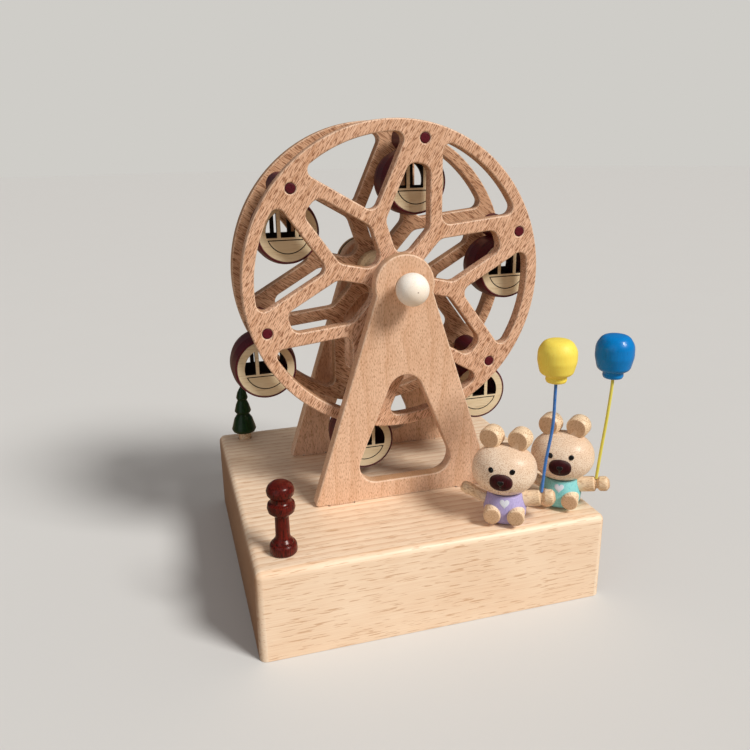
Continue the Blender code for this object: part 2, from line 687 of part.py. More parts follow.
def wheel(hub):
    """The two discs, and the axle with its drum, ball cap and pulley."""
    link("front_wheel", wheel_disc(FRONT_DISC_Y), BEECH, parent=hub)
    link("rear_wheel", wheel_disc(REAR_DISC_Y), BEECH, parent=hub)
    ball_y = FRONT_FRAME_Y - BALL_STANDOFF
    socket = AXLE_RADIUS + SEAT_GAP
    axle_front = ball_y - SEAT_GAP
    axle_back = BELT_Y + PULLEY_WIDTH / 2
    link("wheel_axle", rod(AXLE_RADIUS, axle_front, axle_back, TURNED_STEPS, "Y"), MAPLE, parent=hub)
    half = DISC_SPREAD / 2 - SEAT_GAP
    bead = half / 3
    drum = (
        (-half, socket), (-half, HUB_DRUM_RADIUS), (-bead, HUB_DRUM_RADIUS), (0.0, HUB_DRUM_WAIST),
        (bead, HUB_DRUM_RADIUS), (half, HUB_DRUM_RADIUS), (half, socket),
    )
    link("hub_drum", turned(drum, TURNED_STEPS, "Y", closed=True), MAPLE, parent=hub)
    mouth = math.asin(socket / BALL_RADIUS)
    rounds = arc((0.0, 0.0), BALL_RADIUS, -math.pi / 2, math.pi / 2 - mouth, HEAD_RINGS)
    shell = [(ball_y + y, max(x, 0.0)) for x, y in rounds]
    shell[0] = (ball_y - BALL_RADIUS, 0.0)
    bottom = ball_y - SEAT_GAP * 2
    link("ball_cap", turned([*shell, (bottom, socket), (bottom, 0.0)], TURNED_STEPS, "Y"), MAPLE, parent=hub)
    ring = [(y + BELT_Y, radius) for y, radius in pulley_profile(AXLE_GROOVE_RADIUS)]
    ring = [(ring[0][0], socket), *ring, (ring[-1][0], socket)]
    link("axle_pulley", turned(ring, TURNED_STEPS, "Y", closed=True), PALE_BEECH, parent=hub)


def car_ring():
    """A car's hollow turned ring with its sleeve, and the pin that turns in the two discs."""
    rebate = PANEL_RADIUS + SEAT_GAP
    inner = CAR_HALF_WIDTH - PANEL_THICKNESS - SEAT_GAP
    profile = (
        (-CAR_HALF_WIDTH, rebate), (-CAR_HALF_WIDTH, CAR_END_RADIUS), (-CAR_SHOULDER, CAR_RADIUS),
        (CAR_SHOULDER, CAR_RADIUS), (CAR_HALF_WIDTH, CAR_END_RADIUS),
        (CAR_HALF_WIDTH, rebate), (inner, rebate), (inner, CAR_BORE_RADIUS), (-inner, CAR_BORE_RADIUS),
        (-inner, rebate),
    )
    ring = turned(profile, TURNED_STEPS, "Y", closed=True)
    ring.transform(Matrix.Translation((0.0, 0.0, -CAR_DROP)))
    hanger = (
        (FRONT_DISC_Y, 0.0), (FRONT_DISC_Y, PIN_RADIUS), (-SLEEVE_HALF_WIDTH, PIN_RADIUS),
        (-SLEEVE_HALF_WIDTH, SLEEVE_RADIUS), (SLEEVE_HALF_WIDTH, SLEEVE_RADIUS),
        (SLEEVE_HALF_WIDTH, PIN_RADIUS), (-FRONT_DISC_Y, PIN_RADIUS), (-FRONT_DISC_Y, 0.0),
    )
    return combine("car_ring", ring, turned(hanger, PEG_STEPS, "Y"), "UNION")


def panel_window(left, right):
    """One window of a car's panel, from its left to its right side, arched along the border."""
    border = PANEL_RADIUS - PANEL_BORDER
    sill = math.asin(-PANEL_SILL_DROP / border)
    first = sill if right >= border else math.acos(right / border)
    last = math.pi - sill if left <= -border else math.acos(left / border)
    foot = [(x, -PANEL_SILL_DROP) for x in (left, right) if abs(x) < border]
    return foot + arc((0.0, 0.0), border, first, last, PANEL_ARC_STEPS)


def car_panel():
    """One plywood face of a car, three windows over a solid lower half, about its own middle."""
    outside = PANEL_POST_OFFSET + PANEL_POST_WIDTH / 2
    inside = PANEL_POST_OFFSET - PANEL_POST_WIDTH / 2
    windows = [
        panel_window(-PANEL_RADIUS, -outside),
        panel_window(-inside, inside),
        panel_window(outside, PANEL_RADIUS),
    ]
    half = PANEL_THICKNESS / 2
    return plate(circle(PANEL_RADIUS, TURNED_STEPS), windows, -half, half)


def cars(hub):
    """Six cars, each turning about its own pin, with a panel in each end of the ring."""
    ring = car_ring()
    panel = car_panel()
    face = CAR_HALF_WIDTH - PANEL_THICKNESS / 2
    for index, angle in enumerate(pin_angles(), start=1):
        pivot = empty(f"car_{index}_pivot", pin_place(angle), hub)
        link(f"car_{index}_ring", ring.copy(), MAROON, parent=pivot)
        link(f"car_{index}_front_panel", panel.copy(), PLYWOOD, (0.0, -face, -CAR_DROP), pivot)
        link(f"car_{index}_rear_panel", panel.copy(), PLYWOOD, (0.0, face, -CAR_DROP), pivot)


def belt():
    """The round belt from the movement's pulley up to the axle's pulley."""
    lift = BELT_RADIUS + SEAT_GAP
    upper = AXLE_GROOVE_RADIUS + lift
    lower = DRIVE_GROOVE_RADIUS + lift
    lean = math.asin((upper - lower) / (AXLE_Z - CYLINDER_Z))
    over = arc((0.0, AXLE_Z), upper, -lean, math.pi + lean, BELT_ARC_STEPS)
    under = arc((0.0, CYLINDER_Z), lower, math.pi + lean, math.tau - lean, BELT_ARC_STEPS)
    y = WHEEL_SETBACK + BELT_Y
    route = [Vector((x, y, z)) for x, z in over + under]
    link("drive_belt", wire("drive_belt", route, BELT_RADIUS, closed=True), RUBBER)


def movement_frame():
    """The cast bed of the movement with its posts, comb anvil, shaft bearings and fan bracket."""
    hole = circle(ARBOR_RADIUS + RUN_GAP, PEG_STEPS, (-BARREL_OFFSET, BARREL_CENTRE))
    corners = (
        (-BEDPLATE_LEFT, -BEDPLATE_FRONT), (BEDPLATE_RIGHT, -BEDPLATE_FRONT),
        (BEDPLATE_RIGHT, BEDPLATE_BACK), (-BEDPLATE_LEFT, BEDPLATE_BACK),
    )
    body = plate(corners, (hole,), BEDPLATE_Z, BEDPLATE_TOP_Z, "Z")
    sunk = BEDPLATE_Z + BEDPLATE_THICKNESS / 2
    root = comb_root()
    reach = CYLINDER_LENGTH / 2
    pieces = [
        block(
            (root, CYLINDER_CENTRE - reach, sunk),
            (root + COMB_ROOT, CYLINDER_CENTRE + reach, CYLINDER_Z - COMB_THICKNESS / 2 - SEAT_GAP),
        )
    ]
    xs = (-BEDPLATE_LEFT + BEDPLATE_POST_INSET, BEDPLATE_RIGHT - BEDPLATE_POST_INSET)
    ys = (-BEDPLATE_FRONT + BEDPLATE_POST_INSET, BEDPLATE_BACK - BEDPLATE_POST_INSET)
    post = rod(BEDPLATE_POST_RADIUS, PLATE_TOP_Z + SEAT_GAP, sunk)
    pieces += [moved(post, Matrix.Translation((x, y, 0.0))) for x in xs for y in ys]
    half = BEARING_WIDTH / 2
    corner = half - SEAT_GAP
    head = CYLINDER_Z + BEARING_HEAD
    upright = rounded(((-half, sunk, 0.0), (half, sunk, 0.0), (half, head, corner), (-half, head, corner)))
    bore = circle(SHAFT_RADIUS + RUN_GAP, PEG_STEPS, (0.0, CYLINDER_Z))
    reach += CYLINDER_END_PLAY
    for start in (CYLINDER_CENTRE - reach - BEARING_THICKNESS, CYLINDER_CENTRE + reach):
        pieces.append(plate(upright, (bore,), start, start + BEARING_THICKNESS))
    pieces.append(moved(fan_bracket(sunk), Matrix.Translation((-BARREL_OFFSET, GOVERNOR_CENTRE, 0.0))))
    for piece in pieces:
        body = combine("movement_frame", body, piece, "UNION")
    link("movement_frame", body, STEEL)


def comb_root():
    """How far right of the cylinder's axis the comb's teeth end."""
    return CYLINDER_RADIUS + CYLINDER_PIN_HEIGHT + COMB_TIP_GAP + COMB_TOOTH_LENGTH


def comb():
    """The steel comb: a row of teeth that point at the cylinder."""
    root = comb_root()
    tip = root - COMB_TOOTH_LENGTH
    pitch = CYLINDER_LENGTH / COMB_TEETH
    start = CYLINDER_CENTRE - CYLINDER_LENGTH / 2
    outline = []
    for tooth in range(COMB_TEETH):
        low = start + tooth * pitch
        high = low + pitch * COMB_TOOTH_SHARE
        outline += [(root, low), (tip, low), (tip, high), (root, high)]
    end = outline[-1][1]
    outline += [(root + COMB_ROOT, end), (root + COMB_ROOT, start)]
    half = COMB_THICKNESS / 2
    link("movement_comb", plate(outline, (), CYLINDER_Z - half, CYLINDER_Z + half, "Z"), STEEL)


def cylinder(shaft):
    """The pinned cylinder, turned in one with its shaft and the belt pulley at the rear end."""
    half = CYLINDER_LENGTH / 2
    front = CYLINDER_CENTRE - half - CYLINDER_END_PLAY * 2 - BEARING_THICKNESS - SHAFT_RADIUS
    pulley = [(y + WHEEL_SETBACK + BELT_Y, radius) for y, radius in pulley_profile(DRIVE_GROOVE_RADIUS)]
    profile = (
        (front, 0.0), (front, SHAFT_RADIUS), (CYLINDER_CENTRE - half, SHAFT_RADIUS),
        (CYLINDER_CENTRE - half, CYLINDER_RADIUS), (CYLINDER_CENTRE + half, CYLINDER_RADIUS),
        (CYLINDER_CENTRE + half, SHAFT_RADIUS), (pulley[0][0], SHAFT_RADIUS), *pulley, (pulley[-1][0], 0.0),
    )
    body = turned(profile, TURNED_STEPS, "Y")
    pitch = CYLINDER_LENGTH / COMB_TEETH
    width = CYLINDER_PIN_WIDTH / 2
    foot = CYLINDER_RADIUS - CYLINDER_PIN_HEIGHT * 2
    for track in range(COMB_TEETH):
        y = CYLINDER_CENTRE - half + (track + COMB_TOOTH_SHARE / 2) * pitch
        turn = math.tau * (track * TUNE_STEP % COMB_TEETH + 1 / 2) / COMB_TEETH
        pin = block((-width, y - width, foot), (width, y + width, CYLINDER_RADIUS + CYLINDER_PIN_HEIGHT))
        body = combine("music_cylinder", body, moved(pin, Matrix.Rotation(turn, 4, "Y")), "UNION")
    link("music_cylinder", body, BRASS, parent=shaft)


def barrel_and_key():
    """The spring barrel on the bedplate, and the wing key on its arbor in the well below."""
    low = BEDPLATE_TOP_Z + SEAT_GAP
    high = low + BARREL_HEIGHT
    bore = ARBOR_RADIUS + RUN_GAP
    depth = low + ARBOR_REACH + RUN_GAP
    lid = high - BARREL_LID_STEP
    profile = (
        (depth, 0.0), (depth, bore), (low, bore), (low, BARREL_RADIUS), (lid, BARREL_RADIUS),
        (lid, BARREL_RADIUS - BARREL_LID_STEP), (high, BARREL_RADIUS - BARREL_LID_STEP), (high, 0.0),
    )
    link("spring_barrel", turned(profile, TURNED_STEPS), BRASS, key_place(0.0))
    axis = empty("winding_key_axis", key_place(0.0))
    foot = KEY_GROUND_GAP
    half = KEY_THICKNESS / 2
    wing = plate(
        rounded((
            (-KEY_WING, foot, half), (KEY_WING, foot, half), (KEY_WING, foot + KEY_HEIGHT, half),
            (-KEY_WING, foot + KEY_HEIGHT, half),
        )),
        (), -half, half,
    )
    neck = foot + KEY_HEIGHT / 3
    stem = turned(
        (
            (neck, 0.0), (neck, KEY_HUB_RADIUS), (BEDPLATE_Z - SEAT_GAP, KEY_HUB_RADIUS),
            (BEDPLATE_Z - SEAT_GAP, ARBOR_RADIUS), (low + ARBOR_REACH, ARBOR_RADIUS),
            (low + ARBOR_REACH, 0.0),
        ),
        PEG_STEPS,
    )
    link("winding_key", combine("winding_key", wing, stem, "UNION"), STEEL, parent=axis)


def fan_bracket(foot):
    """The bracket that holds the governor's two shaft ends, open towards the barrel."""
    high = BEDPLATE_TOP_Z + BRACKET_HEIGHT
    inner = BRACKET_REACH - BRACKET_THICKNESS
    outline = (
        (-BRACKET_REACH, foot), (GOVERNOR_WORM_RADIUS, foot),
        (GOVERNOR_WORM_RADIUS, BEDPLATE_TOP_Z + BRACKET_THICKNESS),
        (-inner, BEDPLATE_TOP_Z + BRACKET_THICKNESS),
        (-inner, high - BRACKET_THICKNESS), (GOVERNOR_WORM_RADIUS, high - BRACKET_THICKNESS),
        (GOVERNOR_WORM_RADIUS, high), (-BRACKET_REACH, high),
    )
    return plate(outline, (), -BRACKET_DEPTH / 2, BRACKET_DEPTH / 2)


def governor():
    """The air-brake governor: a worm shaft with a two-blade fan, between the bracket's arms."""
    axis = empty("governor_axis", (-BARREL_OFFSET, GOVERNOR_CENTRE, 0.0))
    foot = BEDPLATE_TOP_Z + BRACKET_THICKNESS + RUN_GAP
    head = BEDPLATE_TOP_Z + BRACKET_HEIGHT - BRACKET_THICKNESS - RUN_GAP
    middle = (foot + head) / 2
    worm = (
        (foot, 0.0), (foot, GOVERNOR_RADIUS), (foot + GOVERNOR_RADIUS, GOVERNOR_WORM_RADIUS),
        (middle, GOVERNOR_WORM_RADIUS), (middle, GOVERNOR_RADIUS), (head, GOVERNOR_RADIUS), (head, 0.0),
    )
    half = GOVERNOR_BLADE / 2
    blades = block(
        (-GOVERNOR_FAN, -half, middle + GOVERNOR_RADIUS), (GOVERNOR_FAN, half, head - GOVERNOR_RADIUS)
    )
    link("governor", combine("governor", turned(worm, PEG_STEPS), blades, "UNION"), BRASS, parent=axis)


def post_and_tree():
    """The turned post at the front left, and the tree on its trunk at the back left."""
    post = scaled_profile(POST_PROFILE_SHARES, POST_HEIGHT, POST_RADIUS)
    depth = SPIGOT_DEPTH + SEAT_GAP
    spigot = [(-depth, 0.0), (-depth, SPIGOT_RADIUS), (0.0, SPIGOT_RADIUS)]
    link("post", turned(spigot + post[1:], BEAD_STEPS), OXBLOOD, (POST_X, POST_Y, DECK_Z + SEAT_GAP))
    foot = DECK_Z + TREE_TRUNK_HEIGHT
    trunk = rod(TREE_TRUNK_RADIUS, DECK_Z - SPIGOT_DEPTH, foot + TREE_SOCKET_DEPTH)
    link("tree_trunk", trunk, BEECH, (TREE_X, TREE_Y, 0.0))
    crown = scaled_profile(TREE_PROFILE_SHARES, TREE_HEIGHT, TREE_RADIUS)
    socket = TREE_TRUNK_RADIUS + SEAT_GAP
    depth = TREE_SOCKET_DEPTH + SEAT_GAP
    bore = [(depth, 0.0), (depth, socket), (0.0, socket)]
    link("tree_top", turned(bore + crown[1:], BEAD_STEPS), PINE_GREEN, (TREE_X, TREE_Y, foot))


def head_solid(clearance=0.0):
    """A bear's oval head with its flat seat, or with a clearance the cutter for it."""
    seat = math.asin(HEAD_SEAT_SHARE)
    rounds = arc((0.0, 0.0), 1.0, seat, math.pi / 2, HEAD_RINGS)
    profile = [(y, max(x, 0.0)) for x, y in rounds]
    profile[-1] = (1.0, 0.0)
    mesh = turned([(profile[0][0], 0.0), *profile])
    size = (HEAD_HALF_WIDTH + clearance, HEAD_HALF_DEPTH + clearance, HEAD_HALF_HEIGHT + clearance)
    mesh.transform(Matrix.Translation((0.0, 0.0, HEAD_Z)) @ Matrix.Diagonal((*size, 1.0)))
    return mesh


def body_solid(clearance=0.0):
    """A bear's turned body on its spigot, or with a clearance the cutter for it."""
    body = scaled_profile(BODY_PROFILE_SHARES, BODY_HEIGHT, BODY_RADIUS + clearance)
    foot = -SPIGOT_DEPTH - SEAT_GAP
    mesh = turned([(foot, 0.0), (foot, SPIGOT_RADIUS), (0.0, SPIGOT_RADIUS), *body[1:]], BEAD_STEPS)
    mesh.transform(Matrix.Translation((0.0, 0.0, SEAT_GAP)))
    return mesh


def oval(size, centre, steps, rings):
    """An oval bead of three half sizes."""
    bm = bmesh.new()
    bmesh.ops.create_uvsphere(bm, u_segments=steps, v_segments=rings, radius=1.0)
    matrix = Matrix.Translation(centre) @ Matrix.Diagonal((*size, 1.0))
    bmesh.ops.transform(bm, verts=bm.verts[:], matrix=matrix)
    return to_mesh(bm, "oval")


def ear_solid(side):
    """A thick round ear seated on the head, at the bear's left (1) or right (-1)."""
    back = EAR_THICKNESS / 2
    profile = (
        (-back, 0.0), (-back, EAR_FACE_RADIUS), (EAR_ROUNDING - back, EAR_RADIUS),
        (back, EAR_RADIUS), (back, 0.0),
    )
    ear = turned(profile, BEAD_STEPS, "Y")
    place = Matrix.Translation((side * EAR_SPREAD, 0.0, HEAD_Z + EAR_LIFT))
    ear.transform(place @ Matrix.Rotation(EAR_TURN, 4, "Z"))
    return combine("ear", ear, head_solid(SEAT_GAP), "DIFFERENCE")


def muzzle_solid():
    """The oval muzzle on the face."""
    depth = HEAD_HALF_DEPTH * math.sqrt(1 - (MUZZLE_DROP / HEAD_HALF_HEIGHT) ** 2)
    size = (MUZZLE_HALF_WIDTH, MUZZLE_DEPTH, MUZZLE_HALF_HEIGHT)
    pad = oval(size, (0.0, -depth, HEAD_Z - MUZZLE_DROP), BEAD_STEPS, HEAD_RINGS)
    return combine("muzzle", pad, head_solid(SEAT_GAP), "DIFFERENCE")


def right_arm_solid():
    """The bear's thin raised right arm, a peg with a round tip."""
    radius = RIGHT_ARM_RADIUS
    profile = (
        (0.0, 0.0), (0.0, radius), (RIGHT_ARM_REACH - radius * 2, radius * 0.9),
        (RIGHT_ARM_REACH - radius, radius), (RIGHT_ARM_REACH - radius / 3, radius * 0.75),
        (RIGHT_ARM_REACH, 0.0),
    )
    arm = turned(profile, PEG_STEPS, "X")
    aim = Matrix.Rotation(math.pi + RIGHT_ARM_TILT, 4, "Y")
    arm.transform(Matrix.Translation((0.0, 0.0, RIGHT_ARM_LIFT / 2)) @ aim)
    return combine("right_arm", arm, body_solid(SEAT_GAP), "DIFFERENCE")


def left_arm_solid():
    """The bear's left arm: a short peg, a groove that the wire stands in and a round hand."""
    groove = LEFT_ARM_REACH
    hand = groove + LEFT_ARM_GROOVE
    radius = LEFT_ARM_RADIUS
    quarter = HAND_LENGTH / 4
    profile = (
        (0.0, 0.0), (0.0, radius), (groove - LEFT_ARM_GROOVE, radius), (groove, LEFT_ARM_GROOVE_RADIUS),
        (hand, LEFT_ARM_GROOVE_RADIUS), (hand + quarter, radius), (hand + quarter * 2, radius),
        (hand + quarter * 3, radius * 0.8), (hand + HAND_LENGTH, 0.0),
    )
    arm = turned(profile, PEG_STEPS, "X")
    aim = Matrix.Rotation(-LEFT_ARM_TILT, 4, "Y")
    arm.transform(Matrix.Translation((0.0, 0.0, LEFT_ARM_LIFT)) @ aim)
    return combine("left_arm", arm, body_solid(SEAT_GAP), "DIFFERENCE")


def leg_solid(side):
    """A stubby leg that points forwards, at the bear's left (1) or right (-1)."""
    leg = rod(LEG_RADIUS, -LEG_REACH, 0.0, PEG_STEPS, "Y")
    leg.transform(Matrix.Translation((side * LEG_SPREAD, 0.0, LEG_LIFT)))
    return combine("leg", leg, body_solid(SEAT_GAP), "DIFFERENCE")


def bears():
    """Both seated bears. Returns each bear's holder, by its colour."""
    shapes = (
        ("head", head_solid(), BEECH), ("left_ear", ear_solid(1), PALE_BEECH),
        ("right_ear", ear_solid(-1), PALE_BEECH), ("muzzle", muzzle_solid(), OXBLOOD),
        ("left_arm", left_arm_solid(), PALE_BEECH), ("right_arm", right_arm_solid(), PALE_BEECH),
        ("left_leg", leg_solid(1), PALE_BEECH), ("right_leg", leg_solid(-1), PALE_BEECH),
    )
    places = (
        ("lavender_bear", LAVENDER, (LAVENDER_BEAR_X, LAVENDER_BEAR_Y, DECK_Z), LAVENDER_BEAR_TURN),
        ("mint_bear", MINT, (MINT_BEAR_X, MINT_BEAR_Y, DECK_Z), MINT_BEAR_TURN),
    )
    holders = {}
    for name, paint, place, turn in places:
        holder = empty(name, place, turn=turn)
        holders[name] = holder
        link(f"{name}_body", body_solid(), paint, parent=holder)
        for part, mesh, finish in shapes:
            link(f"{name}_{part}", mesh.copy(), finish, parent=holder)
    return holders


def groove_top():
    """The top of the groove between arm and hand, in a bear's own frame."""
    reach = LEFT_ARM_REACH + LEFT_ARM_GROOVE / 2
    lift = LEFT_ARM_GROOVE_RADIUS + SEAT_GAP
    x = reach * math.cos(LEFT_ARM_TILT) - lift * math.sin(LEFT_ARM_TILT)
    z = reach * math.sin(LEFT_ARM_TILT) + lift * math.cos(LEFT_ARM_TILT)
    return Vector((x, 0.0, LEFT_ARM_LIFT + z))


def balloon(name, paint, wire_paint, foot, neck, sway):
    """A turned balloon with its neck ring, on a stiff wire that starts in a bear's hand."""
    socket = WIRE_RADIUS + SEAT_GAP
    shares = scaled_profile(BALLOON_PROFILE_SHARES, BALLOON_HEIGHT, BALLOON_RADIUS)
    ball = [(BALLOON_NECK_HEIGHT + high, wide) for high, wide in shares[1:]]
    neck_ring = (
        (BALLOON_SOCKET, 0.0), (BALLOON_SOCKET, socket), (0.0, socket), (0.0, BALLOON_NECK_RADIUS * 0.9),
        (BALLOON_NECK_HEIGHT / 3, BALLOON_NECK_RADIUS), (BALLOON_NECK_HEIGHT * 0.9, BALLOON_NECK_RADIUS),
    )
    link(name, turned([*neck_ring, *ball], BEAD_STEPS), paint, neck)
    top = neck + Vector((0.0, 0.0, BALLOON_SOCKET - SEAT_GAP))
    shift = Vector((sway, 0.0, 0.0))
    entry = neck - Vector((0.0, 0.0, BALLOON_NECK_HEIGHT * 2))
    points = [foot, foot.lerp(entry, 1 / 3), foot.lerp(entry, 2 / 3) + shift, entry, top]
    route = smooth_route(points, WIRE_POINTS)
    link(f"{name}_wire", wire(f"{name}_wire", route, WIRE_RADIUS), wire_paint)


def balloons(holders):
    """One balloon in each bear's left hand."""
    bpy.context.view_layer.update()
    yellow = (YELLOW, WIRE_BLUE, YELLOW_NECK_HEIGHT, YELLOW_NECK_SHIFT, YELLOW_WIRE_SWAY)
    blue = (BLUE, WIRE_YELLOW, BLUE_NECK_HEIGHT, BLUE_NECK_SHIFT, BLUE_WIRE_SWAY)
    pairs = (("yellow_balloon", "lavender_bear", yellow), ("blue_balloon", "mint_bear", blue))
    for name, bear, (paint, wire_paint, height, shift, sway) in pairs:
        foot = holders[bear].matrix_world @ groove_top()
        neck = Vector((foot.x + shift[0], foot.y + shift[1], DECK_Z + height))
        balloon(name, paint, wire_paint, foot, neck, sway)


def main():
    """Builds the whole music box."""
    clear_scene()
    base_block()
    base_underside()
    a_frames()
    hub = empty("wheel_axis", (0.0, WHEEL_SETBACK, AXLE_Z))
    wheel(hub)
    cars(hub)
    belt()
    movement_frame()
    comb()
    cylinder(empty("cylinder_axis", (0.0, 0.0, CYLINDER_Z)))
    barrel_and_key()
    governor()
    post_and_tree()
    balloons(bears())


main()
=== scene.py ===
"""Looks of a wooden ferris wheel music box with two toy bears.

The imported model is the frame. Each sub-assembly is a class that holds its sizes, builds the fine
meshes that stand for the frame's nodes, and dresses them. Lengths are metres, +Z is up, +X is to
the right seen from the front, and the origin is on the ground under the middle of the base.
"""

from __future__ import annotations

import logging
import math
from collections.abc import Callable, Iterable, Mapping, Sequence
from dataclasses import dataclass, field
from enum import Enum
from functools import cached_property, lru_cache
from typing import Any

import bmesh
import bpy
from bmesh.types import BMesh, BMVert
from bpy.types import Material, Mesh, NodeSocket, NodeTree, Object
from mathutils import Euler, Matrix, Vector

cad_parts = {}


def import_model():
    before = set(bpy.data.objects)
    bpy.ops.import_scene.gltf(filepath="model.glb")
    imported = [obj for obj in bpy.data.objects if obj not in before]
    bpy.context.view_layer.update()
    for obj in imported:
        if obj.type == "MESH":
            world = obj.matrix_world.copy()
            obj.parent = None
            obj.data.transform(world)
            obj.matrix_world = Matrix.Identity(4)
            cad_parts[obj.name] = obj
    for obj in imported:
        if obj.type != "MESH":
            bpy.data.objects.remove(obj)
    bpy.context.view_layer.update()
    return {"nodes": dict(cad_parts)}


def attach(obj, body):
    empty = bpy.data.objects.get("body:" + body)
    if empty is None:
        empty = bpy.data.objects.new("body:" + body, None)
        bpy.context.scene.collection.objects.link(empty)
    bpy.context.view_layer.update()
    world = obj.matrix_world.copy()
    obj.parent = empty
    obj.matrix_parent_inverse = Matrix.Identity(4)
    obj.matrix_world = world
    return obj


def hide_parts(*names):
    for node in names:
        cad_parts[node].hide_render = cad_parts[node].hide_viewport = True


LOG = logging.getLogger("ferris_wheel_music_box")
MM = 0.001
NARROW_FACE = 2.4 * MM  # Faces narrower than this belong to a rounded edge, which is painted pale as wear and as a painted highlight.
MERGE = 0.002 * MM  # Points closer than this become one.
WELD = 0.005 * MM  # The same between the sectors of a disc.
WORN_AND_LIT_FROM, WORN_AND_LIT_SPAN = math.radians(6), math.radians(14)  # Where the pale edge of wear and painted highlight starts, and how soon it is full.
FLAT_CREASE = math.radians(34)  # An edge of a plate that turns by more stays sharp.
ARC_STEP = math.radians(9)  # Largest turn between two points of a fillet.
TILT_LIMIT = 0.999  # Cosine past which a face counts as square to an axis.

Point = tuple[float, float]
Corner = tuple[float, float, float]
ORIGIN: Corner = (0.0, 0.0, 0.0)


class Axis(Enum):
    """The axis that a piece is turned about or swept along."""

    X = "X"
    Y = "Y"
    Z = "Z"


class Join(Enum):
    """How two solids become one."""

    UNION = "UNION"
    DIFFERENCE = "DIFFERENCE"


class Slot(Enum):
    """The record's material slots."""

    BEECH = "beech"
    PALE_BEECH = "pale_beech"
    MAPLE = "maple"
    PLYWOOD = "plywood"
    MAROON = "maroon_wood"
    OXBLOOD = "oxblood_wood"
    GREEN = "green_wood"
    LAVENDER = "lavender_wood"
    MINT = "mint_wood"
    YELLOW = "yellow_wood"
    BLUE = "blue_wood"
    BLUE_WIRE = "blue_wire"
    YELLOW_WIRE = "yellow_wire"
    STEEL = "steel"
    BRASS = "brass"
    RUBBER = "belt_rubber"


@dataclass(frozen=True)
class Layout:
    """Places that several sub-assemblies share."""

    deck_z: float = 31.0 * MM
    axle_z: float = 106.5 * MM
    wheel_y: float = 2.9 * MM
    disc_front: float = 16.4 * MM
    disc_thickness: float = 4.8 * MM
    frame_front: float = 25.1 * MM
    frame_thickness: float = 4.8 * MM
    belt_y: float = 31.1 * MM
    axle_radius: float = 3.0 * MM
    cylinder_z: float = 18.7 * MM
    shadow_gap: float = 0.06 * MM
    tenon: Point = (9.0 * MM, 4.0 * MM)
    tenon_left: Point = (-28.2 * MM, 19.2 * MM)
    spigot: Point = (1.6 * MM, 4.0 * MM)
    key_place: Point = (-19.5 * MM, 1.0 * MM)

    @property
    def hub(self) -> Vector:
        """The middle of the wheel."""
        return Vector((0.0, self.wheel_y, self.axle_z))

    @property
    def frame_faces(self) -> Point:
        """Where the front faces of both frames lie."""
        return (self.wheel_y - self.frame_front, self.wheel_y + self.frame_front - self.frame_thickness)


LAYOUT = Layout()


def arc(centre: Point, radius: float, start: float, end: float, steps: int) -> list[Point]:
    """Points along an arc, both ends included."""
    turns = [start + (end - start) * step / steps for step in range(steps + 1)]
    return [(centre[0] + radius * math.cos(a), centre[1] + radius * math.sin(a)) for a in turns]


def circle(radius: float, steps: int, centre: Point = (0.0, 0.0)) -> list[Point]:
    """Points round a circle, the first on its right."""
    return arc(centre, radius, 0.0, math.tau, steps)[:-1]


def neighbours(items: Sequence[Any], closed: bool) -> list[tuple[Any, Any]]:
    """Each item with the next one, and the last with the first where they form a ring."""
    return list(zip(items, items[1:])) + ([(items[-1], items[0])] if closed else [])


def fillet(
    corners: Sequence[Sequence[float]], closed: bool = True, step: float = ARC_STEP
) -> list[Point]:
    """Rounds the corners of an outline or of an open profile.

    Args:
        corners: Each corner as x, y and the radius that rounds it, 0 or none for a sharp one.
        closed: Whether the last corner joins the first. An open line keeps its ends.
        step: Largest turn between two points of a rounded corner.

    Returns:
        The points of the rounded line.
    """
    line: list[Point] = []
    count = len(corners)
    for index, (x, y, *soft) in enumerate(corners):
        if not any(soft) or (not closed and index in (0, count - 1)):
            line.append((x, y))
            continue
        here = Vector((x, y))
        back = (Vector(corners[index - 1][:2]) - here).normalized()
        ahead = (Vector(corners[(index + 1) % count][:2]) - here).normalized()
        half = back.angle(ahead) / 2
        centre = here + (back + ahead).normalized() * (soft[0] / math.sin(half))
        first = here + back * (soft[0] / math.tan(half)) - centre
        turn = (math.pi - 2 * half) * (-1 if back.x * ahead.y - back.y * ahead.x > 0.0 else 1)
        start = math.atan2(first.y, first.x)
        steps = 2 * max(1, math.ceil(abs(turn) / step / 2))
        line += arc(centre, soft[0], start, start + turn, steps)
    return line


def turned_by(outline: Iterable[Point], angle: float) -> list[Point]:
    """Turns an outline about the origin."""
    cosine, sine = math.cos(angle), math.sin(angle)
    return [(x * cosine - y * sine, x * sine + y * cosine) for x, y in outline]


def eased(points: Sequence[Vector], count: int) -> list[Vector]:
    """Reads a smooth curve through points at even steps.

    Args:
        points: The points that the curve goes through.
        count: Number of points to read.

    Returns:
        The points along the curve.
    """
    ends = [points[0] * 2 - points[1], *points, points[-1] * 2 - points[-2]]
    spans = len(points) - 1
    route = []
    for step in range(count):
        place = spans * step / (count - 1)
        span = min(int(place), spans - 1)
        t = place - span
        a, b, c, d = ends[span : span + 4]
        bend = a * 2 - b * 5 + c * 4 - d
        twist = b * 3 - a - c * 3 + d
        route.append((b * 2 + (c - a) * t + bend * t**2 + twist * t**3) / 2)
    return route


def shares(profile: Sequence[Corner], height: float, radius: float) -> list[Corner]:
    """Turns shares of a height and a radius into a profile in metres."""
    return [(high * height, wide * radius, soft * MM) for high, wide, soft in profile]


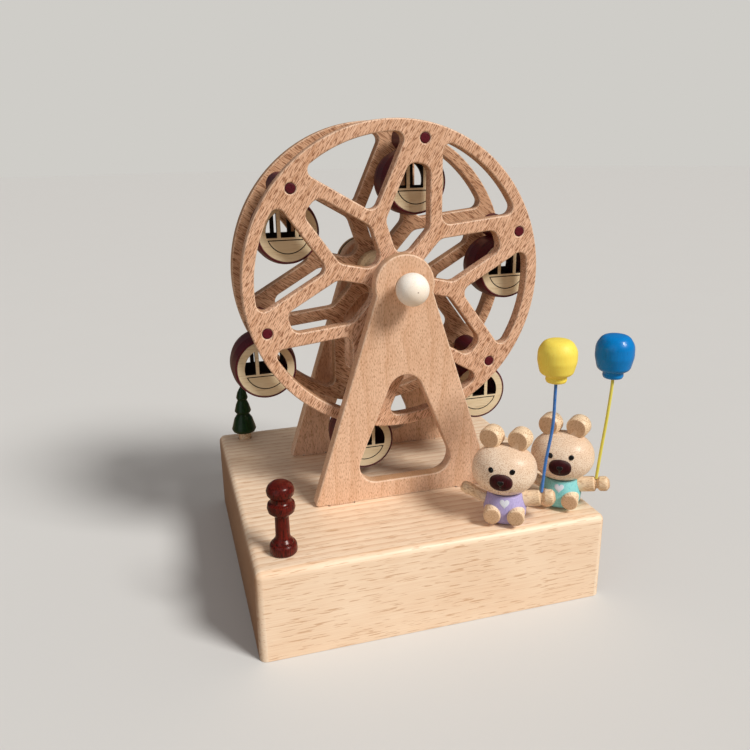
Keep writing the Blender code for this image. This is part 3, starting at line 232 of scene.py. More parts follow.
def mark_worn_and_lit_edges(bm: BMesh, flat: Vector = Vector()) -> None:
    """Writes how soft an edge is, in the attribute "edge" of the corners of its narrow faces, which the
    finishes paint pale as wear and as a painted highlight.

    Args:
        bm: The working mesh, with its normals up to date.
        flat: The direction of faces that are never worn, if there is one.
    """
    layers = bm.loops.layers.float
    worn_and_lit = layers.get("edge") or layers.new("edge")
    softness = {}
    for vert in bm.verts:
        spread = max((vert.normal.angle(face.normal, 0.0) for face in vert.link_faces), default=0.0)
        softness[vert] = min(1.0, max(0.0, (spread - WORN_AND_LIT_FROM) / WORN_AND_LIT_SPAN))
    for face in bm.faces:
        narrow = 4.0 * face.calc_area() < NARROW_FACE * face.calc_perimeter()
        narrow = narrow and abs(face.normal.dot(flat)) < TILT_LIMIT
        for loop in face.loops:
            loop[worn_and_lit] = softness[loop.vert] if narrow else 0.0


def work(mesh: Mesh) -> BMesh:
    """A working copy of a mesh."""
    bm = bmesh.new()
    bm.from_mesh(mesh)
    return bm


def closed_up(bm: BMesh, name: str) -> Mesh:
    """Turns a working mesh, which is freed, into a mesh."""
    mesh = bpy.data.meshes.new(name)
    bm.to_mesh(mesh)
    bm.free()
    return mesh


def linked(name: str, data: bpy.types.ID) -> Object:
    """An object for a mesh, a light or a camera, linked into the scene."""
    item = bpy.data.objects.new(name, data)
    bpy.context.scene.collection.objects.link(item)
    return item


def settle(bm: BMesh, name: str, crease: float = 32.0) -> Mesh:
    """Closes a working mesh: doubles merged, faces outward, smooth but for its creases.

    Args:
        bm: The working mesh, which is freed.
        name: Name of the new mesh.
        crease: Angle in degrees past which an edge stays sharp.

    Returns:
        The mesh, with the softness of its edges in the attribute "edge".
    """
    bmesh.ops.remove_doubles(bm, verts=bm.verts[:], dist=MERGE)
    bmesh.ops.recalc_face_normals(bm, faces=bm.faces[:])
    bm.normal_update()
    mark_worn_and_lit_edges(bm)
    mesh = closed_up(bm, name)
    mesh.shade_smooth()
    mesh.set_sharp_from_angle(angle=math.radians(crease))
    return mesh


def lathe(
    corners: Sequence[Sequence[float]], steps: int, axis: Axis = Axis.Z, closed: bool = False,
    step: float = ARC_STEP,
) -> Mesh:
    """Turns a profile about an axis.

    Args:
        corners: Each corner as height along the axis, radius, and the fillet that rounds it, if any.
        steps: Facets round the piece.
        axis: The axis it is turned about.
        closed: Whether the profile is a closed ring. An open one starts and ends on the axis.
        step: Largest turn between two points of a fillet.

    Returns:
        The turned mesh.
    """
    bm = bmesh.new()
    verts = [bm.verts.new((radius, 0.0, height)) for height, radius in fillet(corners, closed, step)]
    geom = verts + [bm.edges.new(pair) for pair in neighbours(verts, closed)]
    bmesh.ops.spin(bm, geom=geom, cent=ORIGIN, axis=(0, 0, 1), angle=math.tau, steps=steps, use_merge=True)
    angle, about = {Axis.X: (math.pi / 2, "Y"), Axis.Y: (-math.pi / 2, "X"), Axis.Z: (0.0, "Z")}[axis]
    bmesh.ops.transform(bm, verts=bm.verts[:], matrix=Matrix.Rotation(angle, 4, about))
    return settle(bm, "turned")


def block(low: Sequence[float], high: Sequence[float]) -> Mesh:
    """A plain cutter between two corners.

    Args:
        low: The lowest corner.
        high: The highest corner.

    Returns:
        The box mesh.
    """
    bm = bmesh.new()
    bmesh.ops.create_cube(bm, size=1.0)
    size = Vector(high) - Vector(low)
    middle = (Vector(high) + Vector(low)) / 2
    matrix = Matrix.Translation(middle) @ Matrix.Diagonal((*size, 1.0))
    bmesh.ops.transform(bm, verts=bm.verts[:], matrix=matrix)
    return settle(bm, "block")


def moved(mesh: Mesh, matrix: Matrix) -> Mesh:
    """A copy of a mesh, moved by a matrix."""
    copy = mesh.copy()
    copy.transform(matrix)
    return copy


def shift(x: float = 0.0, y: float = 0.0, z: float = 0.0) -> Matrix:
    """A move by a length along each axis."""
    return Matrix.Translation((x, y, z))


def skin(bm: BMesh, rings: Sequence[Sequence[Any]]) -> list[Any]:
    """Closed rings of vertices joined by faces.

    Args:
        bm: The working mesh.
        rings: The rings in order, each with the same number of vertices.

    Returns:
        The new faces.
    """
    made = []
    for first, second in zip(rings, rings[1:]):
        for i in range(len(first)):
            made.append(bm.faces.new((first[i - 1], first[i], second[i], second[i - 1])))
    return made


def pulley(inner: float, lip: float, groove: float, half: float, soft: float) -> list[Corner]:
    """The profile of a grooved pulley in the belt's plane."""
    side = [
        (-half, inner, 0.0), (-half, lip, soft),
        (0.6 * MM - half, lip, soft - 0.05 * MM), (-0.4 * MM, groove, soft),
    ]
    return [(LAYOUT.belt_y + along, radius, turn) for along, radius, turn in mirrored(side)]


def mirrored(half: Sequence[Corner]) -> list[Corner]:
    """A profile whose other half mirrors the first in the middle of its length."""
    return [*half, *((-x, y, soft) for x, y, soft in reversed(half))]


def evaluated(mesh: Mesh, kind: str, inputs: Mapping[str, Any] | None = None, **settings: Any) -> Mesh:
    """Runs one modifier on a mesh.

    Args:
        mesh: The mesh to start from.
        kind: The modifier's type.
        inputs: Values for a node tree's inputs, by the identifiers of their sockets.
        settings: The modifier's own properties.

    Returns:
        The resulting plain mesh.
    """
    holder = linked(mesh.name, mesh)
    modifier = holder.modifiers.new(mesh.name, kind)
    for key, value in settings.items():
        setattr(modifier, key, value)
    for identifier, value in (inputs or {}).items():
        modifier[identifier] = value
    bpy.context.view_layer.update()
    graph = bpy.context.evaluated_depsgraph_get()
    result = bpy.data.meshes.new_from_object(holder.evaluated_get(graph), depsgraph=graph)
    bpy.data.objects.remove(holder)
    return result


def combined(body: Mesh, tools: Iterable[Mesh], join: Join, crease: float = 32.0) -> Mesh:
    """Joins solids with a body, or cuts them from it, and polishes the result.

    Args:
        body: The first solid.
        tools: The solids that are joined or cut, one after another.
        join: Union or difference.
        crease: Angle in degrees past which an edge stays sharp.

    Returns:
        The resulting mesh, with normals weighted by face area.
    """
    for tool in tools:
        cutter = linked("tool", tool)
        body = evaluated(body, "BOOLEAN", operation=join.value, solver="EXACT", object=cutter)
        bpy.data.objects.remove(cutter)
    bm = work(body)
    bmesh.ops.dissolve_degenerate(bm, dist=0.001 * MM, edges=bm.edges[:])
    return evaluated(settle(bm, body.name, crease), "WEIGHTED_NORMAL", keep_sharp=True, weight=60)


@dataclass
class Slab:
    """A flat plate with softened edges, drawn in XZ and swept along Y, or in XY and swept along Z."""

    low: float
    high: float
    soft: float = 0.5 * MM
    soft_steps: int = 3
    axis: Axis = Axis.Y
    bm: BMesh = field(default_factory=bmesh.new)
    faces_low: list[Any] = field(default_factory=list)
    faces_high: list[Any] = field(default_factory=list)
    boundary: list[Any] = field(default_factory=list)

    def spot(self, x: float, y: float, depth: float) -> BMVert:
        """A vertex of the plate at a depth along its axis."""
        return self.bm.verts.new((x, depth, y) if self.axis is Axis.Y else (x, y, depth))

    def rows(self) -> list[Point]:
        """How far each row of a wall stands in from the outline, and its depth.

        Returns:
            Pairs of inset and depth from the low face to the high face.
        """
        turns = [math.pi / 2 * step / self.soft_steps for step in range(self.soft_steps + 1)]
        near = [(self.soft * (1 - math.sin(a)), self.soft * (1 - math.cos(a))) for a in turns]
        front = [(inset, self.low + depth) for inset, depth in near]
        return front + [(inset, self.high - depth) for inset, depth in reversed(near)]

    def loop(self, outline: Sequence[Point], hole: bool, part: tuple[int, int] | None = None) -> list[Any]:
        """Adds the wall along an outline.

        Args:
            outline: The closed outline, counter-clockwise.
            hole: Whether the solid lies outside the outline.
            part: First and last column to keep, for a wall that another sector completes.

        Returns:
            The columns of vertices, from the low face to the high face.
        """
        count = len(outline)
        first_kept, last_kept = part or (0, count - 1)
        kept = (last_kept - first_kept) % count
        side = -1.0 if hole else 1.0
        chain = []
        for step in range(kept + 1):
            index = (first_kept + step) % count
            here = Vector(outline[index])
            before = (here - Vector(outline[index - 1])).normalized()
            after = (Vector(outline[(index + 1) % count]) - here).normalized()
            lean = side * Vector((-before.y - after.y, before.x + after.x)) / (1.0 + before.dot(after))
            chain.append([self.spot(*(here + lean * inset), depth) for inset, depth in self.rows()])
        for first, second in neighbours(chain, part is None):
            for row in range(len(first) - 1):
                self.bm.faces.new((first[row], second[row], second[row + 1], first[row + 1]))
            for edges, row in ((self.faces_low, 0), (self.faces_high, -1)):
                edges.append(self.bm.edges.get((first[row], second[row])))
                self.boundary.append(edges[-1])
        return chain

    def bridge(self, first: Sequence[Any], second: Sequence[Any]) -> None:
        """Draws the cut line between two columns on both faces."""
        self.faces_low.append(self.bm.edges.new((first[0], second[0])))
        self.faces_high.append(self.bm.edges.new((first[-1], second[-1])))

    def char(self, faces: Iterable[Any]) -> None:
        """Marks faces as burnt by the cutter."""
        burnt_and_shaded = self.bm.faces.layers.float.get("burn_and_shade") or self.bm.faces.layers.float.new("burn_and_shade")
        for face in faces:
            face[burnt_and_shaded] = 1.0

    def groove(self, outer: Sequence[Point], inner: Sequence[Point], depth: float) -> None:
        """Engraves a line into the low face, between two outlines with the same number of points.

        Args:
            outer: The line's outer edge.
            inner: The line's inner edge.
            depth: How deep the line is.
        """
        floor = self.low + depth
        edges = ((outer, self.low), (outer, floor), (inner, floor), (inner, self.low))
        rings = [[self.spot(x, y, at) for x, y in edge] for edge, at in edges]
        self.char(skin(self.bm, rings))
        rims = [[self.bm.edges.get(pair) for pair in zip(ring[-1:] + ring, ring)] for ring in rings[::3]]
        self.faces_low += rims[0]
        bmesh.ops.triangle_fill(self.bm, use_beauty=True, use_dissolve=False, edges=rims[1])

    def build(self, name: str) -> Mesh:
        """Fills both faces and closes the plate.

        Args:
            name: Name of the mesh.

        Returns:
            The plate's mesh.
        """
        for edges in (self.faces_low, self.faces_high):
            bmesh.ops.triangle_fill(self.bm, use_beauty=True, use_dissolve=False, edges=edges)
        bmesh.ops.recalc_face_normals(self.bm, faces=self.bm.faces[:])
        self.bm.normal_update()
        mark_worn_and_lit_edges(self.bm, Vector((0.0, 1.0, 0.0)))
        for face in self.bm.faces:
            face.smooth = True
        sharp = [e for e in self.bm.edges if len(e.link_faces) == 2 and e.calc_face_angle(0.0) > FLAT_CREASE]
        for edge in sharp + [edge for edge in self.boundary if edge.is_valid]:
            edge.smooth = False
        return closed_up(self.bm, name)


def plate(
    outer: Sequence[Point], holes: Iterable[Sequence[Point]], low: float, high: float,
    soft: float = 0.5 * MM, axis: Axis = Axis.Y,
) -> Mesh:
    """A flat plate with holes and softened edges.

    Args:
        outer: The outline, counter-clockwise.
        holes: Outlines of the holes, counter-clockwise.
        low: Depth of the first face.
        high: Depth of the second face.
        soft: Radius of the softened edges.
        axis: The axis that the outline is swept along.

    Returns:
        The plate's mesh.
    """
    slab = Slab(low, high, soft, axis=axis)
    slab.loop(outer, hole=False)
    for hole in holes:
        slab.loop(hole, hole=True)
    return slab.build("plate")


def patch(
    outline: Sequence[Point], surface: Callable[[float, float], float], lift: float, roundness: float = 0.5
) -> Mesh:
    """A domed patch that follows a curved front surface.

    Args:
        outline: The patch's outline in XZ, counter-clockwise.
        surface: Gives the surface's y at an x and a z.
        lift: How far the patch's middle stands out.
        roundness: Power of the dome, smaller for a fuller edge.

    Returns:
        The patch's mesh.
    """
    bm = bmesh.new()
    gap = 0.03 * MM
    count = len(outline)
    middle = (sum(x for x, _ in outline) / count, sum(z for _, z in outline) / count)
    rings = []
    for share in (1.0, 0.985, 0.94, 0.85, 0.7, 0.5, 0.25):
        rise = gap + lift * max(0.0, 1.0 - share**2) ** roundness
        spots = [
            (middle[0] + (x - middle[0]) * share, middle[1] + (z - middle[1]) * share) for x, z in outline
        ]
        rings.append([bm.verts.new((x, surface(x, z) - rise, z)) for x, z in spots])
    rings.insert(0, [bm.verts.new((v.co.x, v.co.y + gap * 0.6, v.co.z)) for v in rings[0]])
    skin(bm, rings)
    front = surface(*middle)
    for ring, depth in ((rings[-1], gap + lift), (rings[0][::-1], gap * 0.4)):
        tip = bm.verts.new((middle[0], front - depth, middle[1]))
        for index in range(count):
            bm.faces.new((ring[index - 1], ring[index], tip))
    return settle(bm, "patch", 50.0)


def lay_grain(mesh: Mesh, lay: Matrix) -> None:
    """Writes where each point lies in the wood, and how squarely the surface cuts its fibres.

    Args:
        mesh: The finished mesh.
        lay: Turns and moves the mesh into wood whose grain runs along X.
    """
    places = mesh.attributes.new("grain_place", "FLOAT_VECTOR", "POINT")
    places.data.foreach_set("vector", [value for vert in mesh.vertices for value in lay @ vert.co])
    turn = lay.to_3x3()
    ends = mesh.attributes.new("end_grain", "FLOAT", "CORNER")
    ends.data.foreach_set("value", [abs((turn @ normal.vector).x) for normal in mesh.corner_normals])


def colour(code: str) -> tuple[float, ...]:
    """Reads a screen colour such as "D6A882" as the linear colour that shaders take, with an alpha of 1."""
    parts = [int(code[index : index + 2], 16) / 255 for index in (0, 2, 4)]
    return (*(c / 12.92 if c <= 0.04045 else ((c + 0.055) / 1.055) ** 2.4 for c in parts), 1.0)


class Wiring:
    """Adds nodes to one tree and joins their sockets."""

    def __init__(self, tree: NodeTree) -> None:
        """Keeps the tree that the nodes go into."""
        self.tree = tree

    def node(self, kind: str, inputs: Mapping[int | str, Any] | None = None, **settings: Any) -> Any:
        """Adds a node.

        Args:
            kind: The node's type name.
            inputs: Values or sockets for its inputs, by name or number.
            settings: The node's own properties.

        Returns:
            The outputs of the new node.
        """
        node = self.tree.nodes.new(kind)
        for key, value in settings.items():
            setattr(node, key, value)
        for key, value in (inputs or {}).items():
            self.feed(node.inputs[key], value)
        return node.outputs

    def give(self, values: Mapping[str, Any]) -> NodeTree:
        """Ends a shader group.

        Args:
            values: The number that each output gives, by the output's name.

        Returns:
            The group.
        """
        for label in values:
            self.tree.interface.new_socket(label, in_out="OUTPUT", socket_type="NodeSocketFloat")
        self.node("NodeGroupOutput", values)
        return self.tree

    def feed(self, socket: NodeSocket, value: Any) -> None:
        """Links a socket into another one, or sets its value."""
        if isinstance(value, NodeSocket):
            self.tree.links.new(value, socket)
        else:
            socket.default_value = value

    def maths(self, operation: str, first: Any, second: Any = 0.0, clamp: bool = False) -> Any:
        """The result of a Math node."""
        return self.node("ShaderNodeMath", {0: first, 1: second}, operation=operation, use_clamp=clamp)[0]

    def plus(self, first: Any, second: Any, clamp: bool = False) -> Any:
        """The sum of two numbers."""
        return self.maths("ADD", first, second, clamp)

    def times(self, first: Any, second: Any, clamp: bool = False) -> Any:
        """The product of two numbers."""
        return self.maths("MULTIPLY", first, second, clamp)

    def over(self, first: Any, second: Any) -> Any:
        """The first number divided by the second."""
        return self.maths("DIVIDE", first, second)

    def spread(self, value: Any, low: Any, high: Any, to_low: float = 0.0, to_high: float = 1.0) -> Any:
        """A value read smoothly between two limits, from one number to another."""
        inputs = {0: value, 1: low, 2: high, 3: to_low, 4: to_high}
        return self.node("ShaderNodeMapRange", inputs, interpolation_type="SMOOTHSTEP")[0]

    def blend(self, share: Any, first: Any, second: Any) -> Any:
        """Two colours mixed by a share."""
        return self.node("ShaderNodeMix", {0: share, 6: first, 7: second}, data_type="RGBA")[2]

    def vector(self, x: Any = 0.0, y: Any = 0.0, z: Any = 0.0) -> Any:
        """A vector made of three numbers."""
        return self.node("ShaderNodeCombineXYZ", {0: x, 1: y, 2: z})[0]

    def vectors(self, operation: str, first: Any, second: Any) -> Any:
        """The result of a Vector Math node that gives a vector."""
        return self.node("ShaderNodeVectorMath", {0: first, 1: second}, operation=operation)[0]

    def reach(self, place: Any, centre: Any, across: Corner, operation: str = "ADD") -> Any:
        """How far a place lies from an axis."""
        flat = self.vectors("MULTIPLY", self.vectors(operation, place, centre), across)
        return self.node("ShaderNodeVectorMath", {0: flat}, operation="LENGTH")["Value"]

    def attribute(self, name: str, output: str = "Fac") -> Any:
        """One of the mesh's own attributes."""
        return self.node("ShaderNodeAttribute", attribute_name=name, attribute_type="GEOMETRY")[output]

    def noise(self, place: Any, size: Any, detail: float = 2.0, rough: float = 0.5, seed: Any = 0.0) -> Any:
        """The value of a noise texture.

        Args:
            place: Where it is read.
            size: Its size along each axis, or one size for all three.
            detail: How many finer octaves it has.
            rough: How strong they are.
            seed: How far it is shifted.

        Returns:
            The noise.
        """
        sizes = self.vector(*(size if isinstance(size, tuple) else (size, size, size)))
        at = self.vectors("ADD", self.vectors("DIVIDE", place, sizes), self.vector(seed, seed, seed))
        look = {"Vector": at, "Scale": 1.0, "Detail": detail, "Roughness": rough}
        return self.node("ShaderNodeTexNoise", look)[0]

    def group(self, tree: NodeTree, inputs: Mapping[str, Any]) -> Any:
        """The outputs of a shader group with these inputs."""
        return self.node("ShaderNodeGroup", inputs, node_tree=tree)


def shader_group(name: str, inputs: Mapping[str, Any]) -> tuple[Wiring, Any]:
    """Starts a shader node group with named sockets.

    Args:
        name: The group's name.
        inputs: Default of each input, a number or a vector.

    Returns:
        The group's wiring and the outputs of its input node.
    """
    tree = bpy.data.node_groups.new(name, "ShaderNodeTree")
    for label, default in inputs.items():
        kind = "NodeSocketVector" if isinstance(default, tuple) else "NodeSocketFloat"
        tree.interface.new_socket(label, in_out="INPUT", socket_type=kind).default_value = default
    wiring = Wiring(tree)
    return wiring, wiring.node("NodeGroupInput")


@lru_cache(maxsize=None)
def wood_figure() -> NodeTree:
    """The figure of wood whose grain runs along X: year rings, fibres, and short dark flecks.

    Returns:
        A group with the outputs Ring, Fibre, Fleck and Height.
    """
    sizes = {
        "Vector": ORIGIN, "Fleck Length": 0.0024, "Fleck Width": 0.00036, "Fleck Cover": 0.6,
        "Fleck Spread": 1.0, "Ring Width": 0.004, "Ring Drift": 3.0, "Ring Offset": (0.0, 0.045, 0.09),
        "Seed": 0.0,
    }
    w, given = shader_group("wood_figure", sizes)
    place, length, width, seed = (given[label] for label in ("Vector", "Fleck Length", "Fleck Width", "Seed"))
    dashes = w.noise(place, (length, w.times(width, given["Fleck Spread"]), width), 1.0, 0.35, seed)
    fleck = w.spread(dashes, given["Fleck Cover"], w.plus(given["Fleck Cover"], 0.07))
    thin = w.times(width, 0.8)
    fibre = w.spread(w.noise(place, (w.times(length, 6.0), thin, thin), 3.0, 0.6, seed), 0.3, 0.7)
    drift = w.times(w.noise(place, (0.05, 0.012, 0.012), seed=seed), given["Ring Drift"])
    years = w.over(w.reach(place, given["Ring Offset"], (0.0, 1.0, 1.0)), given["Ring Width"])
    year = w.maths("FRACT", w.plus(years, drift))
    ring = w.times(w.maths("POWER", year, 2.5), w.spread(year, 1.0, 0.9))
    height = w.maths("SUBTRACT", w.times(fibre, 0.5), w.times(fleck, 0.6))
    return w.give({"Ring": ring, "Fibre": fibre, "Fleck": fleck, "Height": height})


@lru_cache(maxsize=None)
def rubbed_and_lit_edges() -> NodeTree:
    """Where softened edges are painted pale, as rubbed wear and as a painted highlight, broken up by noise.

    Returns:
        A group with the output Mask.
    """
    w, given = shader_group("rubbed_and_lit_edges", {"Vector": ORIGIN, "Grain": 0.0015, "Amount": 1.0})
    broken = w.spread(w.noise(given["Vector"], (given["Grain"],) * 3, 3.0), 0.25, 0.6)
    return w.give({"Mask": w.times(w.times(w.attribute("edge"), broken), given["Amount"], clamp=True)})


@lru_cache(maxsize=None)
def handled() -> NodeTree:
    """Broad uneven patches and a fine orange peel, as on a surface that hands have touched.

    Returns:
        A group with the outputs Patch and Peel.
    """
    w, given = shader_group("handled", {"Vector": ORIGIN, "Patch Size": 0.02, "Peel Size": 0.0006})
    broad = w.spread(w.noise(given["Vector"], (given["Patch Size"],) * 3, 3.0), 0.3, 0.7)
    return w.give({"Patch": broad, "Peel": w.noise(given["Vector"], (given["Peel Size"],) * 3)})


@lru_cache(maxsize=None)
def tool_rings() -> NodeTree:
    """Fine rings that a lathe tool leaves about an axis along Y, and the dot at its centre.

    Returns:
        A group with the outputs Rings and Dot.
    """
    sizes = {"Vector": ORIGIN, "Centre": ORIGIN, "Pitch": 0.0009, "Dot": 0.0002}
    w, given = shader_group("tool_rings", sizes)
    reach = w.reach(given["Vector"], given["Centre"], (1.0, 0.0, 1.0), "SUBTRACT")
    waves = w.maths("SINE", w.times(w.over(reach, given["Pitch"]), math.tau))
    dot = w.spread(w.maths("SUBTRACT", reach, given["Dot"]), 0.0001, 0.0)
    return w.give({"Rings": w.plus(w.times(waves, 0.5), 0.5), "Dot": dot})


@dataclass(frozen=True)
class Finish:
    """What every finish shares: one material with a Principled shader, made once.

    The name is the material's. The grain is a turn in degrees about X, Y and Z that lays it along X.
    """

    name: str
    grain: Corner = ORIGIN

    @property
    def lay(self) -> Matrix:
        """Turns a piece so that its grain runs along X."""
        return Euler([math.radians(angle) for angle in self.grain]).to_matrix().to_4x4()

    @cached_property
    def material(self) -> Material:
        """The finished material.

        Returns:
            A node material with its shader fed.
        """
        material = bpy.data.materials.new(self.name)
        material.use_nodes = True
        w = Wiring(material.node_tree)
        shader = material.node_tree.nodes["Principled BSDF"]
        for label, value in self.feeds(w, w.node("ShaderNodeTexCoord")["Object"]).items():
            w.feed(shader.inputs[label], value)
        return material

    def feeds(self, w: Wiring, place: Any) -> dict[str, Any]:
        """What the Principled shader takes, which each finish says for itself."""
        raise NotImplementedError

    def bump(self, w: Wiring, height: Any, strength: float, distance: float) -> Any:
        """A normal from a height, with the distance in millimetres."""
        relief = {"Strength": strength, "Distance": distance * MM, "Height": height}
        return w.node("ShaderNodeBump", relief)[0]


@dataclass(frozen=True)
class Wood(Finish):
    """Planed or turned wood under a thin oil finish.

    The colours are screen colours: pale wood, the dark side of a year ring, the flecks, and the end grain.
    A fleck has a length and a width, starts at a level of the noise called cover, shows with a
    strength, and is wider by spread on a level face. The heart is where the middle of the tree lies from
    the piece, and drift is how many rings a line wanders. The dot is the centre of the lathe marks, for
    a ball that shows its end grain.
    """

    pale: str = "E8C8A0"
    deep: str = "D0A57A"
    fleck: str = "B08058"
    length: float = 2.4 * MM
    width: float = 0.36 * MM
    cover: float = 0.58
    strength: float = 0.7
    spread: float = 1.0
    # How strongly soft edges are painted pale: rubbed wear, and a painted highlight where they catch the
    # light.
    rub_and_lit: float = 0.4
    fibre: float = 0.3
    ring: float = 4.0 * MM
    ring_strength: float = 0.35
    drift: float = 3.0
    heart: Corner = (0.0, 0.045, 0.09)
    end: str = "B98D66"
    seed: float = 0.0
    roughness: float = 0.5
    dot: Corner | None = None

    def feeds(self, w: Wiring, place: Any) -> dict[str, Any]:
        """Colours, roughness and relief of the wood.

        Args:
            w: The material's wiring.
            place: The object coordinates.

        Returns:
            What each input of the shader takes.
        """
        along = w.attribute("grain_place", "Vector")
        figure = w.group(wood_figure(), {
            "Vector": along, "Fleck Length": self.length, "Fleck Width": self.width,
            "Fleck Cover": self.cover, "Fleck Spread": self.spread, "Ring Width": self.ring,
            "Ring Drift": self.drift, "Ring Offset": self.heart, "Seed": self.seed,
        })
        touch = w.group(handled(), {"Vector": along})
        tone = w.plus(w.times(figure["Ring"], self.ring_strength), w.times(figure["Fibre"], self.fibre))
        tone = w.plus(tone, w.times(touch["Patch"], 0.14), clamp=True)
        # Soft edges painted pale, as rubbed wear and as a painted highlight.
        rubbed_and_lit = w.group(rubbed_and_lit_edges(), {"Vector": place})["Mask"]
        layers = [
            (w.spread(w.attribute("end_grain"), 0.6, 0.97, 0.0, 0.75), self.end),
            (w.times(figure["Fleck"], self.strength), self.fleck), (w.times(rubbed_and_lit, self.rub_and_lit), "FFF3E0"),
        ]
        height = figure["Height"]
        if self.dot:
            rings = w.group(tool_rings(), {"Vector": place, "Centre": self.dot})
            layers += [(w.times(rings["Rings"], 0.25), self.deep), (w.times(rings["Dot"], 0.7), "7A6350")]
            height = w.plus(height, w.times(rings["Rings"], 0.5))
        paint = w.blend(tone, colour(self.pale), colour(self.deep))
        # Near black where the cutter burnt, and on the panels' inner faces as painted shade.
        for share, tint in [*layers, (w.attribute("burn_and_shade"), "1C100B")]:
            paint = w.blend(share, paint, colour(tint))
        return {
            "Base Color": paint, "Roughness": w.plus(w.times(figure["Fibre"], 0.1), self.roughness - 0.05),
            "Specular IOR Level": 0.35, "Normal": self.bump(w, height, 0.5, 0.03),
        }


@dataclass(frozen=True)
class Paint(Finish):
    """Paint or stain on turned wood, with a little grain under it.

    The shade is the screen colour where the paint lies thick or in the grain, figure says how
    strongly the grain shows, and gloss how strongly the paint itself shines under its clear coat.
    """

    body: str = "808080"
    shade: str = "606060"
    figure: float = 0.4
    roughness: float = 0.35
    coat: float = 0.0
    gloss: float = 0.3
    # The colour of soft edges, painted pale as rubbed wear and as a painted highlight.
    rubbed_and_lit: str = "F0E6DA"

    def feeds(self, w: Wiring, place: Any) -> dict[str, Any]:
        """Colours, roughness and relief of the paint.

        Args:
            w: The material's wiring.
            place: The object coordinates.

        Returns:
            What each input of the shader takes.
        """
        figure = w.group(wood_figure(), {"Vector": w.attribute("grain_place", "Vector")})
        touch = w.group(handled(), {"Vector": place})
        tone = w.plus(w.times(figure["Fibre"], self.figure), w.times(touch["Patch"], 0.3))
        tone = w.plus(tone, w.times(figure["Fleck"], self.figure), clamp=True)
        paint = w.blend(tone, colour(self.body), colour(self.shade))
        # Soft edges painted pale, as rubbed wear and as a painted highlight.
        rubbed_and_lit = w.times(w.group(rubbed_and_lit_edges(), {"Vector": place})["Mask"], 0.15)
        height = w.plus(touch["Peel"], w.times(figure["Height"], 0.6))
        return {
            "Base Color": w.blend(rubbed_and_lit, paint, colour(self.rubbed_and_lit)),
            "Roughness": w.plus(w.times(touch["Patch"], 0.08), self.roughness - 0.04),
            "Specular IOR Level": self.gloss, "Coat Weight": self.coat, "Coat Roughness": 0.12,
            "Normal": self.bump(w, height, 0.4, 0.02),
        }


@dataclass(frozen=True)
class Metal(Finish):
    """Machined or drawn metal with fine marks, its tool marks laid along the grain."""

    bright: str = "C9CACC"
    dull: str = "8E9094"
    roughness: float = 0.32

    def feeds(self, w: Wiring, place: Any) -> dict[str, Any]:
        """Colours, roughness and relief of the metal.

        Args:
            w: The material's wiring.
            place: The object coordinates.

        Returns:
            What each input of the shader takes.
        """
        turn = tuple(math.radians(angle) for angle in self.grain)
        along = w.node("ShaderNodeMapping", {"Vector": place, "Rotation": turn})[0]
        lines = w.noise(along, (0.006, 0.00015, 0.00015))
        patch_share = w.times(w.group(handled(), {"Vector": place})["Patch"], 0.5)
        tone = w.plus(patch_share, w.times(lines, 0.4), clamp=True)
        return {
            "Base Color": w.blend(tone, colour(self.bright), colour(self.dull)), "Metallic": 1.0,
            "Roughness": w.plus(w.times(lines, 0.2), self.roughness - 0.1),
            "Normal": self.bump(w, lines, 0.3, 0.01),
        }


@dataclass(frozen=True)
class Rubber(Finish):
    """Soft dark rubber with a dusty bloom."""

    body: str = "1B1B1C"
    bloom: str = "3A3937"

    def feeds(self, w: Wiring, place: Any) -> dict[str, Any]:
        """Colours, roughness and relief of the rubber.

        Args:
            w: The material's wiring.
            place: The object coordinates.

        Returns:
            What each input of the shader takes.
        """
        touch = w.group(handled(), {"Vector": place, "Patch Size": 0.004})
        return {
            "Base Color": w.blend(w.times(touch["Patch"], 0.6), colour(self.body), colour(self.bloom)),
            "Roughness": w.spread(touch["Patch"], 0.0, 1.0, 0.55, 0.8),
            "Normal": self.bump(w, touch["Peel"], 0.4, 0.02),
        }


LEVEL: Corner = (0.0, 0.0, 0.0)
UPRIGHT: Corner = (0.0, 90.0, 0.0)
ENDWAYS: Corner = (0.0, 0.0, -90.0)


